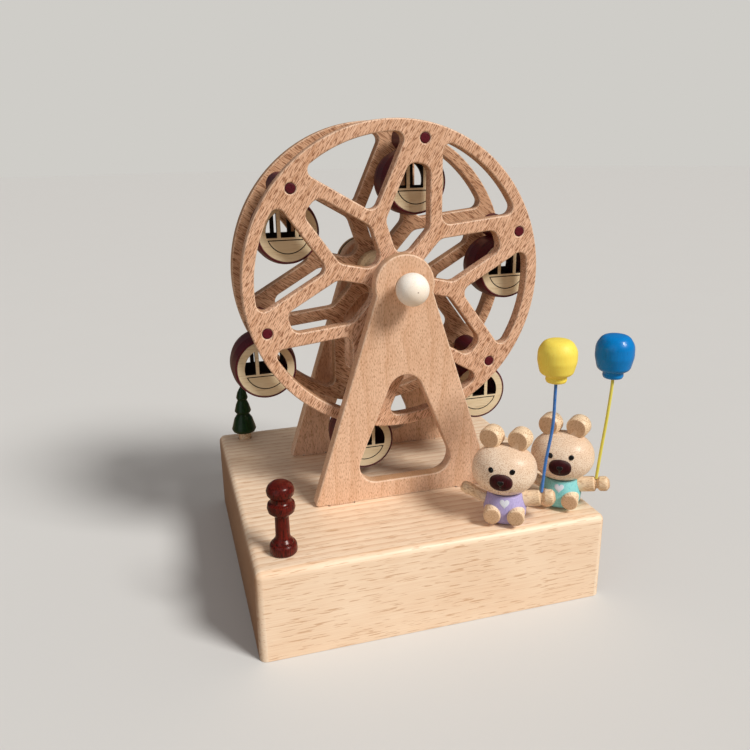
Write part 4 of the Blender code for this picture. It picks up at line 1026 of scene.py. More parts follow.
class Finishes:
    """The finishes of the music box, by what they are on."""

    base = Wood(
        "base_beech", LEVEL, "FFEBD3", "DCB088", "BD8A5A", length=5.6 * MM, width=0.34 * MM, cover=0.62,
        # The dark end colour is end grain, deepened further as painted shade on the base's sides.
        ring=3.4 * MM, ring_strength=0.62, drift=1.1, heart=(0.0, 0.998, 0.0), strength=0.52, end="865434",
        # A stronger pale edge: a painted highlight along the base's rounded edges.
        roughness=0.4, fibre=0.25, spread=1.4, rub_and_lit=0.6,
    )
    wheel = Wood(
        "wheel_beech", (0.0, 58.0, 0.0), "F5CEB2", "C08E6A", "845334",
        length=2.3 * MM, width=0.3 * MM, cover=0.53, ring=5.0 * MM, strength=0.8, fibre=0.6,
    )
    # The same beech as the front disc, painted darker: painted shade on the disc behind it.
    rear_wheel = Wood(
        "rear_wheel_shaded_beech", (0.0, -35.0, 0.0), "E6BC9A", "B68462", "805032", length=2.3 * MM, width=0.3 * MM,
        cover=0.54, ring=5.0 * MM, strength=0.75, seed=3.0, fibre=0.6,
    )
    frame = Wood(
        "frame_beech", UPRIGHT, "F1CEB3", "CC9E7A", "9C6A44", length=1.1 * MM, width=0.22 * MM, cover=0.54,
        ring=6.0 * MM, strength=0.5, seed=1.0, fibre=0.45,
    )
    ball = Wood(
        "ball_maple", ENDWAYS, "FFFEFA", "FFF8EE", "CDB698", length=1.5 * MM, width=0.2 * MM, cover=0.57,
        ring=1.0 * MM, ring_strength=0.3, drift=0.8, strength=0.3, roughness=0.45,
        heart=(0.0, 0.0, -LAYOUT.axle_z), end="FFF4E6", dot=(0.0, 0.0, LAYOUT.axle_z),
    )
    axle = Wood("axle_maple", ENDWAYS, "E3CDA9", "CDB089", "B2926B", width=0.3 * MM, ring=2.5 * MM)
    plywood = Wood(
        "car_plywood", LEVEL, "EADCBE", "D8C49C", "B59A70", length=5.0 * MM, width=0.3 * MM, cover=0.62,
        ring=6.0 * MM, strength=0.35, roughness=0.6,
    )
    bear = Wood(
        "bear_beech", (0.0, 70.0, 40.0), "FFF0DE", "E8CDB0", "B88A62",
        length=0.8 * MM, width=0.26 * MM, cover=0.51, ring=3.0 * MM, ring_strength=0.2, strength=0.5,
        roughness=0.34, end="E6CAB0", fibre=0.35,
    )
    limb = Wood(
        "limb_beech", LEVEL, "F8E2C4", "DFBF98", "B0845C", length=1.1 * MM, width=0.28 * MM, cover=0.53,
        ring=0.9 * MM, ring_strength=0.5, drift=0.6, strength=0.55, roughness=0.4, end="D2AC88",
        heart=(0.0, 0.0004, 0.0),
    )
    ring = Paint("car_maroon", ENDWAYS, "661C2A", "3A0D17", figure=0.5, roughness=0.4, gloss=0.2)
    post = Paint(
        "post_oxblood", UPRIGHT, "6E1C14", "300D09", figure=0.8,
        roughness=0.3, coat=0.12, gloss=0.2, rubbed_and_lit="8E4030",
    )
    tree = Paint(
        "tree_green", UPRIGHT, "1A3E1A", "0A1B0B", figure=0.5,
        roughness=0.3, coat=0.2, gloss=0.2, rubbed_and_lit="3F6A44",
    )
    muzzle = Paint("muzzle_maroon", UPRIGHT, "48121A", "280A0E", figure=0.7, roughness=0.5, gloss=0.15)
    ink = Paint("bear_ink", UPRIGHT, "080606", "030202", figure=0.1, roughness=0.3, coat=0.15)
    heart = Paint("heart_white", UPRIGHT, "E3E8F2", "C6D0E6", figure=0.4, roughness=0.5)
    lavender = Paint("body_lavender", UPRIGHT, "BDB4E6", "9790C6", figure=0.4, roughness=0.45)
    mint = Paint("body_mint", UPRIGHT, "99DEE2", "6CC0C8", figure=0.4, roughness=0.45)
    yellow = Paint("balloon_yellow", UPRIGHT, "FFF06C", "F8D84E", figure=0.3, roughness=0.45)
    blue = Paint(
        "balloon_blue", UPRIGHT, "0088DE", "006AB4", figure=0.25, roughness=0.3, coat=0.25, gloss=0.15
    )
    blue_wire = Paint("wire_blue", UPRIGHT, "2A7ED8", "1F62B0", figure=0.2, roughness=0.4)
    yellow_wire = Paint("wire_yellow", UPRIGHT, "EFE860", "D0C63E", figure=0.2, roughness=0.4)
    steel = Metal("movement_steel")
    brass = Metal("movement_brass", (90.0, 0.0, 90.0), "D9B56C", "A5803F", roughness=0.28)
    rubber = Rubber("belt_black")


def add_piece(
    name: str, mesh: Mesh, finish: Finish, nodes: Sequence[str] = (), body: str = "base",
    lay: Matrix | None = None,
) -> None:
    """Links a finished mesh as a piece of the model.

    Args:
        name: Name of the piece.
        mesh: Its mesh, in place.
        finish: Its finish.
        nodes: The frame's nodes that it stands for.
        body: The frame's body that it rides on.
        lay: How the piece lies in its wood, where the finish's own way isn't meant.
    """
    mesh.name = name
    lay_grain(mesh, finish.lay if lay is None else lay)
    mesh.materials.clear()
    mesh.materials.append(finish.material)
    item = linked(name, mesh)
    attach(item, body)
    if nodes:
        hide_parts(*nodes)
    LOG.info("%s rides on %s, %d faces", name, body, len(mesh.polygons))


class Growth:
    """A Geometry Nodes tree with named inputs, run on one mesh."""

    def __init__(self, name: str, finish: Finish, inputs: Mapping[str, Any]) -> None:
        """Starts the tree.

        Args:
            name: The tree's name.
            finish: The finish of what it makes.
            inputs: Value of each input, by name: a whole number, a number or a vector.
        """
        self.tree = bpy.data.node_groups.new(name, "GeometryNodeTree")
        self.values: dict[str, Any] = {}
        face = self.tree.interface
        face.new_socket("Geometry", in_out="INPUT", socket_type="NodeSocketGeometry")
        face.new_socket("Geometry", in_out="OUTPUT", socket_type="NodeSocketGeometry")
        kinds = {int: "Int", float: "Float", Vector: "Vector", Material: "Material"}
        for label, value in {**inputs, "Material": finish.material}.items():
            kind = f"NodeSocket{kinds[type(value)]}"
            socket = face.new_socket(label, in_out="INPUT", socket_type=kind)
            self.values[socket.identifier] = value
        self.wiring = Wiring(self.tree)
        self.given = self.wiring.node("NodeGroupInput")

    def copies(self, points: Any, **inputs: Any) -> Any:
        """Instances of a geometry on points, of the tree's own mesh unless another is given."""
        taken = {"Points": points, "Instance": self.given["Geometry"], **inputs}
        return self.wiring.node("GeometryNodeInstanceOnPoints", taken)[0]

    def run(self, mesh: Mesh, geometry: Any) -> Mesh:
        """Ends the tree, with instances made real and the material set, and runs it on a mesh.

        Args:
            mesh: The mesh that the tree starts from.
            geometry: The socket that holds the geometry.

        Returns:
            The resulting plain mesh.
        """
        w = self.wiring
        real = w.node("GeometryNodeRealizeInstances", {"Geometry": geometry})[0]
        dressed = w.node("GeometryNodeSetMaterial", {"Geometry": real, "Material": self.given["Material"]})[0]
        w.node("NodeGroupOutput", {0: dressed})
        return evaluated(mesh, "NODES", self.values, node_group=self.tree)


def followed(
    route: Sequence[Vector], radius: float, finish: Finish, name: str, closed: bool = False
) -> Mesh:
    """A round wire or belt along a route.

    Args:
        route: Points along the middle of the wire.
        radius: Radius of the wire.
        finish: Its finish.
        name: Name of the tree.
        closed: Whether the wire is an endless loop.

    Returns:
        The wire's mesh.
    """
    growth = Growth(name, finish, {"Radius": radius, "Sides": 14})
    w, given = growth.wiring, growth.given
    curve = w.node("GeometryNodeMeshToCurve", {0: given["Geometry"]})[0]
    shape = {"Resolution": given["Sides"], "Radius": given["Radius"]}
    swept = {"Curve": curve, "Profile Curve": w.node("GeometryNodeCurvePrimitiveCircle", shape)[0]}
    tube = w.node("GeometryNodeCurveToMesh", {**swept, "Fill Caps": not closed})[0]
    bm = bmesh.new()
    verts = [bm.verts.new(place) for place in route]
    for pair in neighbours(verts, closed):
        bm.edges.new(pair)
    made = growth.run(closed_up(bm, "route"), w.node("GeometryNodeSetShadeSmooth", {0: tube})[0])
    return settle(work(made), name, 50.0)


@dataclass
class Base:
    """The hollow beech base with its underside plate."""

    width: float = 118.0 * MM
    depth: float = 114.7 * MM
    edge: float = 2.4 * MM
    edge_steps: int = 8
    wall: float = 12.0 * MM
    deck: float = 6.0 * MM
    plate_top: float = 2.9 * MM
    rim: float = 5.0 * MM
    gap: float = 0.3 * MM
    slot: Point = (7.6 * MM, 2.4 * MM)
    trunk_socket: float = 2.9 * MM
    well: float = 13.0 * MM
    screw_inset: float = 11.0 * MM
    screw_radius: float = 2.6 * MM
    screw_depth: float = 1.5 * MM

    def block(self, sockets: Iterable[Point], trunk: Point) -> Mesh:
        """Builds the block with its rounded edges, hollow, slot and sockets.

        Args:
            sockets: Places of the small round sockets in the deck.
            trunk: Place of the tree's socket.

        Returns:
            The block's mesh.
        """
        x, y, deck_z, gap = self.width / 2, self.depth / 2, LAYOUT.deck_z, self.gap
        over = 2.0 * MM
        bm = work(block((-x, -y, 0.0), (x, y, deck_z)))
        edges = [edge for edge in bm.edges if any(vert.co.z > 0.0 for vert in edge.verts)]
        bmesh.ops.bevel(
            bm, geom=edges, offset=self.edge, segments=self.edge_steps, profile=0.5, affect="EDGES"
        )
        hollows = ((self.rim, self.plate_top + gap), (self.wall, deck_z - self.deck))
        cuts = [block((inset - x, inset - y, -over), (x - inset, y - inset, top)) for inset, top in hollows]
        wide, deep = self.slot
        foot = (-wide, LAYOUT.belt_y - deep, deck_z - self.deck - over)
        cuts.append(block(foot, (wide, LAYOUT.belt_y + deep, deck_z + over)))
        wide, deep = LAYOUT.tenon
        for face in LAYOUT.frame_faces:
            front, back = face - gap, face + LAYOUT.frame_thickness + gap
            for left in LAYOUT.tenon_left:
                corner = (left - gap, front, deck_z - deep - gap)
                cuts.append(block(corner, (left + wide + gap, back, deck_z + over)))
        radius, depth = (size + gap for size in LAYOUT.spigot)
        for place_x, place_y, wide in [(*spot, radius) for spot in sockets] + [(*trunk, self.trunk_socket)]:
            hole = lathe(((-depth, 0.0), (-depth, wide), (over, wide), (over, 0.0)), 24)
            cuts.append(moved(hole, shift(place_x, place_y, deck_z)))
        return combined(settle(bm, "base_block"), cuts, Join.DIFFERENCE)

    def underside(self) -> Mesh:
        """Builds the underside plate with its key well and countersunk screw holes.

        Returns:
            The plate's mesh.
        """
        x, y = (side / 2 - self.rim - self.gap for side in (self.width, self.depth))
        outline = fillet([(-x, -y, MM), (x, -y, MM), (x, y, MM), (-x, y, MM)])
        wells = (circle(self.well, 72, LAYOUT.key_place),)
        body = plate(outline, wells, 0.0, self.plate_top, 0.3 * MM, Axis.Z)
        deep, wide, over = self.screw_depth, self.screw_radius, 0.5 * MM
        sink = lathe(((-over, 0.0), (-over, wide), (0.4 * MM, wide), (deep, wide / 2), (deep, 0.0)), 32)
        x, y = self.width / 2 - self.screw_inset, self.depth / 2 - self.screw_inset
        places = ((-x, -y), (x, -y), (x, y), (-x, y))
        return combined(body, [moved(sink, shift(*place)) for place in places], Join.DIFFERENCE)

    def screws(self) -> Mesh:
        """Builds the plate screws: one cross-slotted head, repeated at each hole.

        Returns:
            The screws' mesh.
        """
        head, deep, slot = self.screw_radius - 0.15 * MM, self.screw_depth - 0.15 * MM, 0.28 * MM
        shape = [(0.25 * MM, 0.0), (0.25 * MM, head * 0.8), (0.4 * MM, head), (deep, head / 2), (deep, 0.0)]
        sizes = ((slot, head * 0.6), (head * 0.6, slot))
        arms = [block((-x, -y, 0.0), (x, y, 0.8 * MM)) for x, y in sizes]
        screw = combined(lathe(shape, 32), arms, Join.DIFFERENCE)
        inset = self.screw_inset
        halves = {"Half Width": self.width / 2 - inset, "Half Depth": self.depth / 2 - inset}
        growth = Growth("plate_screws", Finishes.steel, {**halves, "Seed": 4})
        w, given = growth.wiring, growth.given
        sides = {"Size X": w.times(given["Half Width"], 2.0), "Size Y": w.times(given["Half Depth"], 2.0)}
        grid = w.node("GeometryNodeMeshGrid", {**sides, "Vertices X": 2, "Vertices Y": 2})[0]
        limits = {2: 0.0, 3: math.pi, "Seed": given["Seed"]}
        spin = w.node("FunctionNodeRandomValue", limits, data_type="FLOAT")[1]
        return growth.run(screw, growth.copies(grid, Rotation=w.vector(0.0, 0.0, spin)))

    def build(self, sockets: Iterable[Point], trunk: Point) -> None:
        """Adds the base's pieces.

        Args:
            sockets: Places of the small round sockets in the deck.
            trunk: Place of the tree's socket.
        """
        add_piece("base_body", self.block(sockets, trunk), Finishes.base, ("base_block",))
        add_piece("base_plate", self.underside(), Finishes.base, ("bottom_plate",))
        add_piece("base_plate_screws", self.screws(), Finishes.steel)


@dataclass
class Frames:
    """The two A-shaped frames."""

    foot: float = 33.2 * MM
    foot_round: float = 1.1 * MM
    height: float = 75.5 * MM
    top: float = 10.3 * MM
    sill: float = 6.7 * MM
    window_foot: float = 19.9 * MM
    window_peak: float = 54.9 * MM
    window_rounds: Point = (6.3 * MM, 6.2 * MM)
    bore: float = 3.15 * MM
    soft: float = 0.55 * MM

    def outline(self) -> list[Point]:
        """The A-shaped outline over its two tenons, counter-clockwise from the right foot.

        Returns:
            The outline's points.
        """
        gap = LAYOUT.shadow_gap
        lean = math.atan2(self.height, self.foot) + math.asin(self.top / math.hypot(self.foot, self.height))
        start = lean - math.pi / 2
        top = arc((0.0, self.height), self.top, start, math.pi - start, 40)
        corners = [(self.foot, gap, self.foot_round), *((x, y, 0.0) for x, y in top)]
        corners.append((-self.foot, gap, self.foot_round))
        wide, deep = LAYOUT.tenon
        for left in LAYOUT.tenon_left:
            spots = ((left, gap), (left, -deep), (left + wide, -deep), (left + wide, gap))
            corners += [(x, y, 0.0) for x, y in spots]
        return fillet(corners)

    def build(self) -> None:
        """Adds both frames.

        Each is cut from one outline with the window and the axle's bore.
        """
        low, peak = self.window_rounds
        foot, sill = self.window_foot, self.sill
        window = fillet(((-foot, sill, low), (foot, sill, low), (0.0, self.window_peak, peak)))
        bore = circle(self.bore, 48, (0.0, self.height))
        for name, front in zip(("front_a_frame", "rear_a_frame"), LAYOUT.frame_faces):
            body = plate(self.outline(), (window, bore), front, front + LAYOUT.frame_thickness, self.soft)
            mesh = moved(body, shift(z=LAYOUT.deck_z))
            add_piece(f"{name}_body", mesh, Finishes.frame, (name,))


@dataclass
class Wheel:
    """The two spoked discs, their axle, drum, ball cap and pulley."""

    radius: float = 52.2 * MM
    rim: float = 4.1 * MM
    soft: float = 0.5 * MM
    count: int = 6
    first_pin: float = math.radians(137.9)
    pin_circle: float = 47.06 * MM
    pin_hole: float = 1.72 * MM
    arm: float = 4.4 * MM
    spoke: float = 5.5 * MM
    apex: float = 24.0 * MM
    splay: float = math.radians(42)
    rim_rounds: Point = (3.0 * MM, 2.6 * MM)
    pin_window_end: float = 38.9 * MM
    pin_rounds: Corner = (4.0 * MM, 4.0 * MM, 3.3 * MM)
    drum: Corner = (7.0 * MM, 5.6 * MM, 11.3 * MM)
    ball: float = 5.4 * MM
    ball_y: float = -29.2 * MM
    pulley_groove: float = 8.0 * MM
    pulley_half: float = 2.2 * MM
    lip: float = 10.0 * MM

    def pin_angles(self) -> list[float]:
        """The angle of each pin round the wheel, clockwise from the first."""
        return [self.first_pin - math.tau * index / self.count for index in range(self.count)]

    def rim_window(self) -> list[Point]:
        """The rounded window between two pins, with its middle on +X.

        Returns:
            Its outline, counter-clockwise from the innermost point.
        """
        rim = self.radius - self.rim
        peak, side = self.rim_rounds
        along = Vector((math.cos(self.splay), math.sin(self.splay)))
        foot = Vector((self.apex, 0.0)) + Vector((along.y, -along.x)) * side
        half = foot.dot(along)
        run = math.sqrt(half**2 - foot.length_squared + (rim - side) ** 2) - half
        centre = foot + along * run
        turn = math.atan2(centre.y, centre.x)
        upper = arc((centre.x, centre.y), side, turn, self.splay + math.pi / 2, 8)
        lower = [(x, -y) for x, y in reversed(upper)]
        tip = fillet(((*upper[-1], 0.0), (self.apex, 0.0, peak), (*lower[0], 0.0)), closed=False)[1:-1]
        outline = tip + lower + arc((0.0, 0.0), rim, -turn, turn, 24)[1:-1] + upper
        first = min(range(len(outline)), key=lambda i: outline[i][0])
        return outline[first:] + outline[:first]

    def pin_window(self) -> list[Point]:
        """The kite-shaped window inside one pin, with the pin on +X.

        Returns:
            Its outline, counter-clockwise.
        """
        half = math.pi / self.count
        steep, flat = math.tan(half), math.tan(half - self.splay)
        inset = self.arm / math.cos(half - self.splay)
        hub = self.spoke / 2 / math.sin(half)
        start = self.apex * math.sin(half) - inset - self.apex * math.cos(half) * flat
        side = (start + hub * steep) / (steep - flat)
        high, end = (side - hub) * steep, self.pin_window_end
        inner, middle, outer = self.pin_rounds
        tip = start + end * flat
        return fillet((
            (hub, 0.0, inner), (side, -high, middle), (end, -tip, outer),
            (end, tip, outer), (side, high, middle),
        ))

    def sector(self, low: float) -> Mesh:
        """Builds one sixth of a disc, with a pin in its middle, about the origin.

        Args:
            low: Depth of its front face, from the middle of the wheel.

        Returns:
            The open sector. Its neighbours close it.
        """
        half = math.pi / self.count
        slab = Slab(low, low + LAYOUT.disc_thickness, self.soft)
        steps = 12 * self.count
        share = steps // self.count
        bore = turned_by(circle(LAYOUT.axle_radius + LAYOUT.shadow_gap, steps), -half)
        rim = turned_by(circle(self.radius, steps * 3), -half)
        inner = slab.loop(bore, True, (0, share))
        outer = slab.loop(rim, False, (0, share * 3))
        window = self.rim_window()
        middle = len(window) // 2
        below = slab.loop(turned_by(window, -half), True, (middle, 0))
        above = slab.loop(turned_by(window, half), True, (0, middle))
        slab.bridge(inner[0], below[-1])
        slab.bridge(below[0], outer[0])
        slab.bridge(inner[-1], above[0])
        slab.bridge(above[-1], outer[-1])
        slab.loop(self.pin_window(), True)
        slab.loop(circle(self.pin_hole, 28, (self.pin_circle, 0.0)), True)
        return slab.build("sector")

    def disc(self, low: float, finish: Finish, name: str) -> Mesh:
        """Builds one whole disc: its sector repeated round the axis and welded.

        Args:
            low: Depth of its front face, from the middle of the wheel.
            finish: Its finish.
            name: Name of the tree that repeats the sector.

        Returns:
            The disc's mesh, in place.
        """
        growth = Growth(name, finish, {"Count": self.count, "Centre": LAYOUT.hub})
        w, given = growth.wiring, growth.given
        points = w.node("GeometryNodePoints", {"Count": given["Count"]})[0]
        angle = w.times(w.node("GeometryNodeInputIndex")[0], w.over(math.tau, given["Count"]))
        copies = growth.copies(points, Rotation=w.vector(0.0, angle))
        real = w.node("GeometryNodeRealizeInstances", {"Geometry": copies})[0]
        welded = w.node("GeometryNodeMergeByDistance", {"Geometry": real, "Distance": WELD})[0]
        placed = w.node("GeometryNodeTransform", {"Geometry": welded, "Translation": given["Centre"]})[0]
        sector = moved(self.sector(low), Matrix.Rotation(-self.first_pin, 4, "Y"))
        bm = work(growth.run(sector, placed))
        bmesh.ops.recalc_face_normals(bm, faces=bm.faces[:])
        bm.normal_update()
        for edge in bm.edges:
            flat = {abs(face.normal.y) > TILT_LIMIT for face in edge.link_faces}
            edge.smooth = len(flat) < 2 and edge.calc_face_angle(0.0) < FLAT_CREASE
        return closed_up(bm, name)

    def turned_pieces(self) -> list[Mesh]:
        """Builds the axle, drum, ball cap and pulley.

        Returns:
            The meshes in that order, in place.
        """
        axle, ball = LAYOUT.axle_radius, self.ball
        bore = axle + LAYOUT.shadow_gap
        front = self.ball_y - LAYOUT.wheel_y
        back = LAYOUT.belt_y - LAYOUT.wheel_y + self.pulley_half
        rod = ((front, 0.0, 0.0), (front, axle, 0.3 * MM), (back, axle, 0.4 * MM), (back, 0.0, 0.0))
        wide, waist, half = self.drum
        drum = mirrored((
            (-half, bore, 0.0), (-half, wide, 0.5 * MM),
            (-half * 0.62, wide, 0.4 * MM), (-half * 0.5, waist, 1.6 * MM),
        ))
        shell = arc((0.0, 0.0), ball, -math.pi / 2, math.pi / 2 - math.asin(bore / ball), 30)[1:]
        cap = [(front - ball, 0.0), *((front + y, max(x, 0.0)) for x, y in shell)]
        cap += [(front - 0.3 * MM, bore), (front - 0.3 * MM, 0.0)]
        sheave = pulley(bore, self.lip, self.pulley_groove, self.pulley_half, 0.3 * MM)
        return [
            moved(lathe(rod, 40, Axis.Y), shift(*LAYOUT.hub)),
            moved(lathe(drum, 64, Axis.Y, closed=True), shift(*LAYOUT.hub)),
            moved(lathe(cap, 72, Axis.Y), shift(*LAYOUT.hub)),
            moved(lathe(sheave, 72, Axis.Y, closed=True), shift(z=LAYOUT.axle_z)),
        ]

    def build(self) -> None:
        """Adds the wheel's pieces."""
        for name, low, finish in (
            ("front", -LAYOUT.disc_front, Finishes.wheel),
            ("rear", LAYOUT.disc_front - LAYOUT.disc_thickness, Finishes.rear_wheel),
        ):
            mesh = self.disc(low, finish, f"{name}_disc_round")
            add_piece(f"{name}_disc", mesh, finish, (f"{name}_wheel",), "wheel")
        rod, drum, cap, sheave = self.turned_pieces()
        add_piece("axle_rod", rod, Finishes.axle, ("wheel_axle",), "wheel")
        add_piece("drum", drum, Finishes.axle, ("hub_drum",), "wheel")
        add_piece("ball", cap, Finishes.ball, ("ball_cap",), "wheel")
        add_piece("pulley", sheave, Finishes.axle, ("axle_pulley",), "wheel")


@dataclass
class Cars:
    """The six hanging cars: a turned ring on a pin, and a burnt plywood face at each end, dark on its inner
    side as painted shade.
    """

    wheel: Wheel
    drop: float = 14.4 * MM
    half_width: float = 7.9 * MM
    radius: float = 11.3 * MM
    shoulder: float = 3.0 * MM
    end_radius: float = 10.5 * MM
    bore: float = 8.2 * MM
    rebate: float = 9.9 * MM
    panel_radius: float = 9.82 * MM
    panel_thickness: float = 1.5 * MM
    border: float = 7.3 * MM
    sill: float = -1.7 * MM
    rail: float = 0.75 * MM
    post_offset: float = 3.0 * MM
    post_half: float = 0.65 * MM
    line_width: float = 0.34 * MM
    line_depth: float = 0.3 * MM
    sleeve: Point = (4.4 * MM, 6.6 * MM)
    pin: float = 1.65 * MM

    def ring(self) -> Mesh:
        """Builds the ring with its sleeve and pin, about the pin's axis.

        Returns:
            The ring's mesh.
        """
        end, soft, rebate = self.half_width, 0.35 * MM, self.rebate
        inner = end - self.panel_thickness - LAYOUT.shadow_gap
        profile = mirrored((
            (-inner, self.bore, soft), (-inner, rebate, 0.0), (-end, rebate, 0.0),
            (-end, self.end_radius, soft), (-self.shoulder, self.radius, 5.0 * MM),
        ))
        ring = moved(lathe(profile, 96, Axis.Y, True, math.radians(4)), shift(z=-self.drop))
        reach, pin = LAYOUT.disc_front, self.pin
        wide, long = self.sleeve
        hanger = mirrored((
            (-reach, 0.0, 0.0), (-reach, pin, 0.25 * MM), (-long, pin, 0.0), (-long, wide, 0.6 * MM),
            (-long / 3, wide * 0.97, 0.0),
        ))
        return combined(ring, [lathe(hanger, 56, Axis.Y)], Join.UNION, 28.0)

    def window(self, left: float, right: float) -> list[Point]:
        """One window of a panel, arched along the border.

        Args:
            left: Its left side.
            right: Its right side.

        Returns:
            Its outline, counter-clockwise.
        """
        sill = math.asin(self.sill / self.border)
        first = sill if right >= self.border else math.acos(right / self.border)
        last = math.pi - sill if left <= -self.border else math.acos(left / self.border)
        foot = [(x, self.sill) for x in (left, right) if abs(x) < self.border]
        return foot + arc((0.0, 0.0), self.border, first, last, 14)

    def line(self, inset: float) -> list[Point]:
        """One edge of the burnt line: a flat-topped bowl under the windows.

        Args:
            inset: How far inside the line's outer edge it runs.

        Returns:
            The edge's points, counter-clockwise.
        """
        reach = self.border - inset
        start = math.asin((self.sill - self.rail - inset) / reach)
        return arc((0.0, 0.0), reach, -math.pi - start, start, 44)

    def panel(self) -> Mesh:
        """Builds one plywood face, its engraved side towards -Y and its inner face painted dark as shade
        inside the car, about its own middle.

        Returns:
            The panel's mesh.
        """
        outside, inside = self.post_offset + self.post_half, self.post_offset - self.post_half
        half, reach = self.panel_thickness / 2, self.panel_radius
        slab = Slab(-half, half, 0.06 * MM, 1)
        for left, right in ((-reach, -outside), (-inside, inside), (outside, reach)):
            slab.loop(self.window(left, right), hole=True)
        slab.char(slab.bm.faces)
        slab.loop(circle(reach, 96), hole=False)
        slab.groove(self.line(0.0), self.line(self.line_width), self.line_depth)
        mesh = slab.build("panel")
        # The inner face is painted near black: painted shade inside the hollow car.
        burnt_and_shaded = mesh.attributes["burn_and_shade"].data
        for face in mesh.polygons:
            if face.normal.y > 0.9:
                burnt_and_shaded[face.index].value = 0.9
        return mesh

    def build(self) -> None:
        """Adds the six cars, each on its own body."""
        ring, panel = self.ring(), self.panel()
        reach, half = self.wheel.pin_circle, self.half_width - self.panel_thickness / 2
        for number, angle in enumerate(self.wheel.pin_angles(), start=1):
            body = f"car_{number}"
            pin = LAYOUT.hub + Vector((reach * math.cos(angle), 0.0, reach * math.sin(angle)))
            hoop = moved(ring, shift(*pin))
            add_piece(f"{body}_hoop", hoop, Finishes.ring, (f"{body}_ring",), body)
            for side, turn, along in (("front", 0.0, -half), ("rear", math.pi, half)):
                stand = shift(pin.x, pin.y + along, pin.z - self.drop) @ Matrix.Rotation(turn, 4, "Z")
                nodes = (f"{body}_{side}_panel",)
                add_piece(
                    f"{body}_{side}_face", moved(panel, stand), Finishes.plywood, nodes, body
                )


@dataclass
class BeltDrive:
    """The round belt from the movement's pulley up to the axle's pulley."""

    upper: float = 9.1 * MM
    lower: float = 4.7 * MM
    radius: float = 0.8 * MM

    def build(self) -> None:
        """Adds the belt, straight between its two arcs."""
        top, foot = LAYOUT.axle_z, LAYOUT.cylinder_z
        lean = math.asin((self.upper - self.lower) / (top - foot))
        over = arc((0.0, top), self.upper, -lean, math.pi + lean, 48)
        under = arc((0.0, foot), self.lower, math.pi + lean, math.tau - lean, 32)
        route = [Vector((x, LAYOUT.belt_y, z)) for x, z in over + under]
        mesh = followed(route, self.radius, Finishes.rubber, "belt_sweep", closed=True)
        add_piece("belt_loop", mesh, Finishes.rubber, ("drive_belt",))


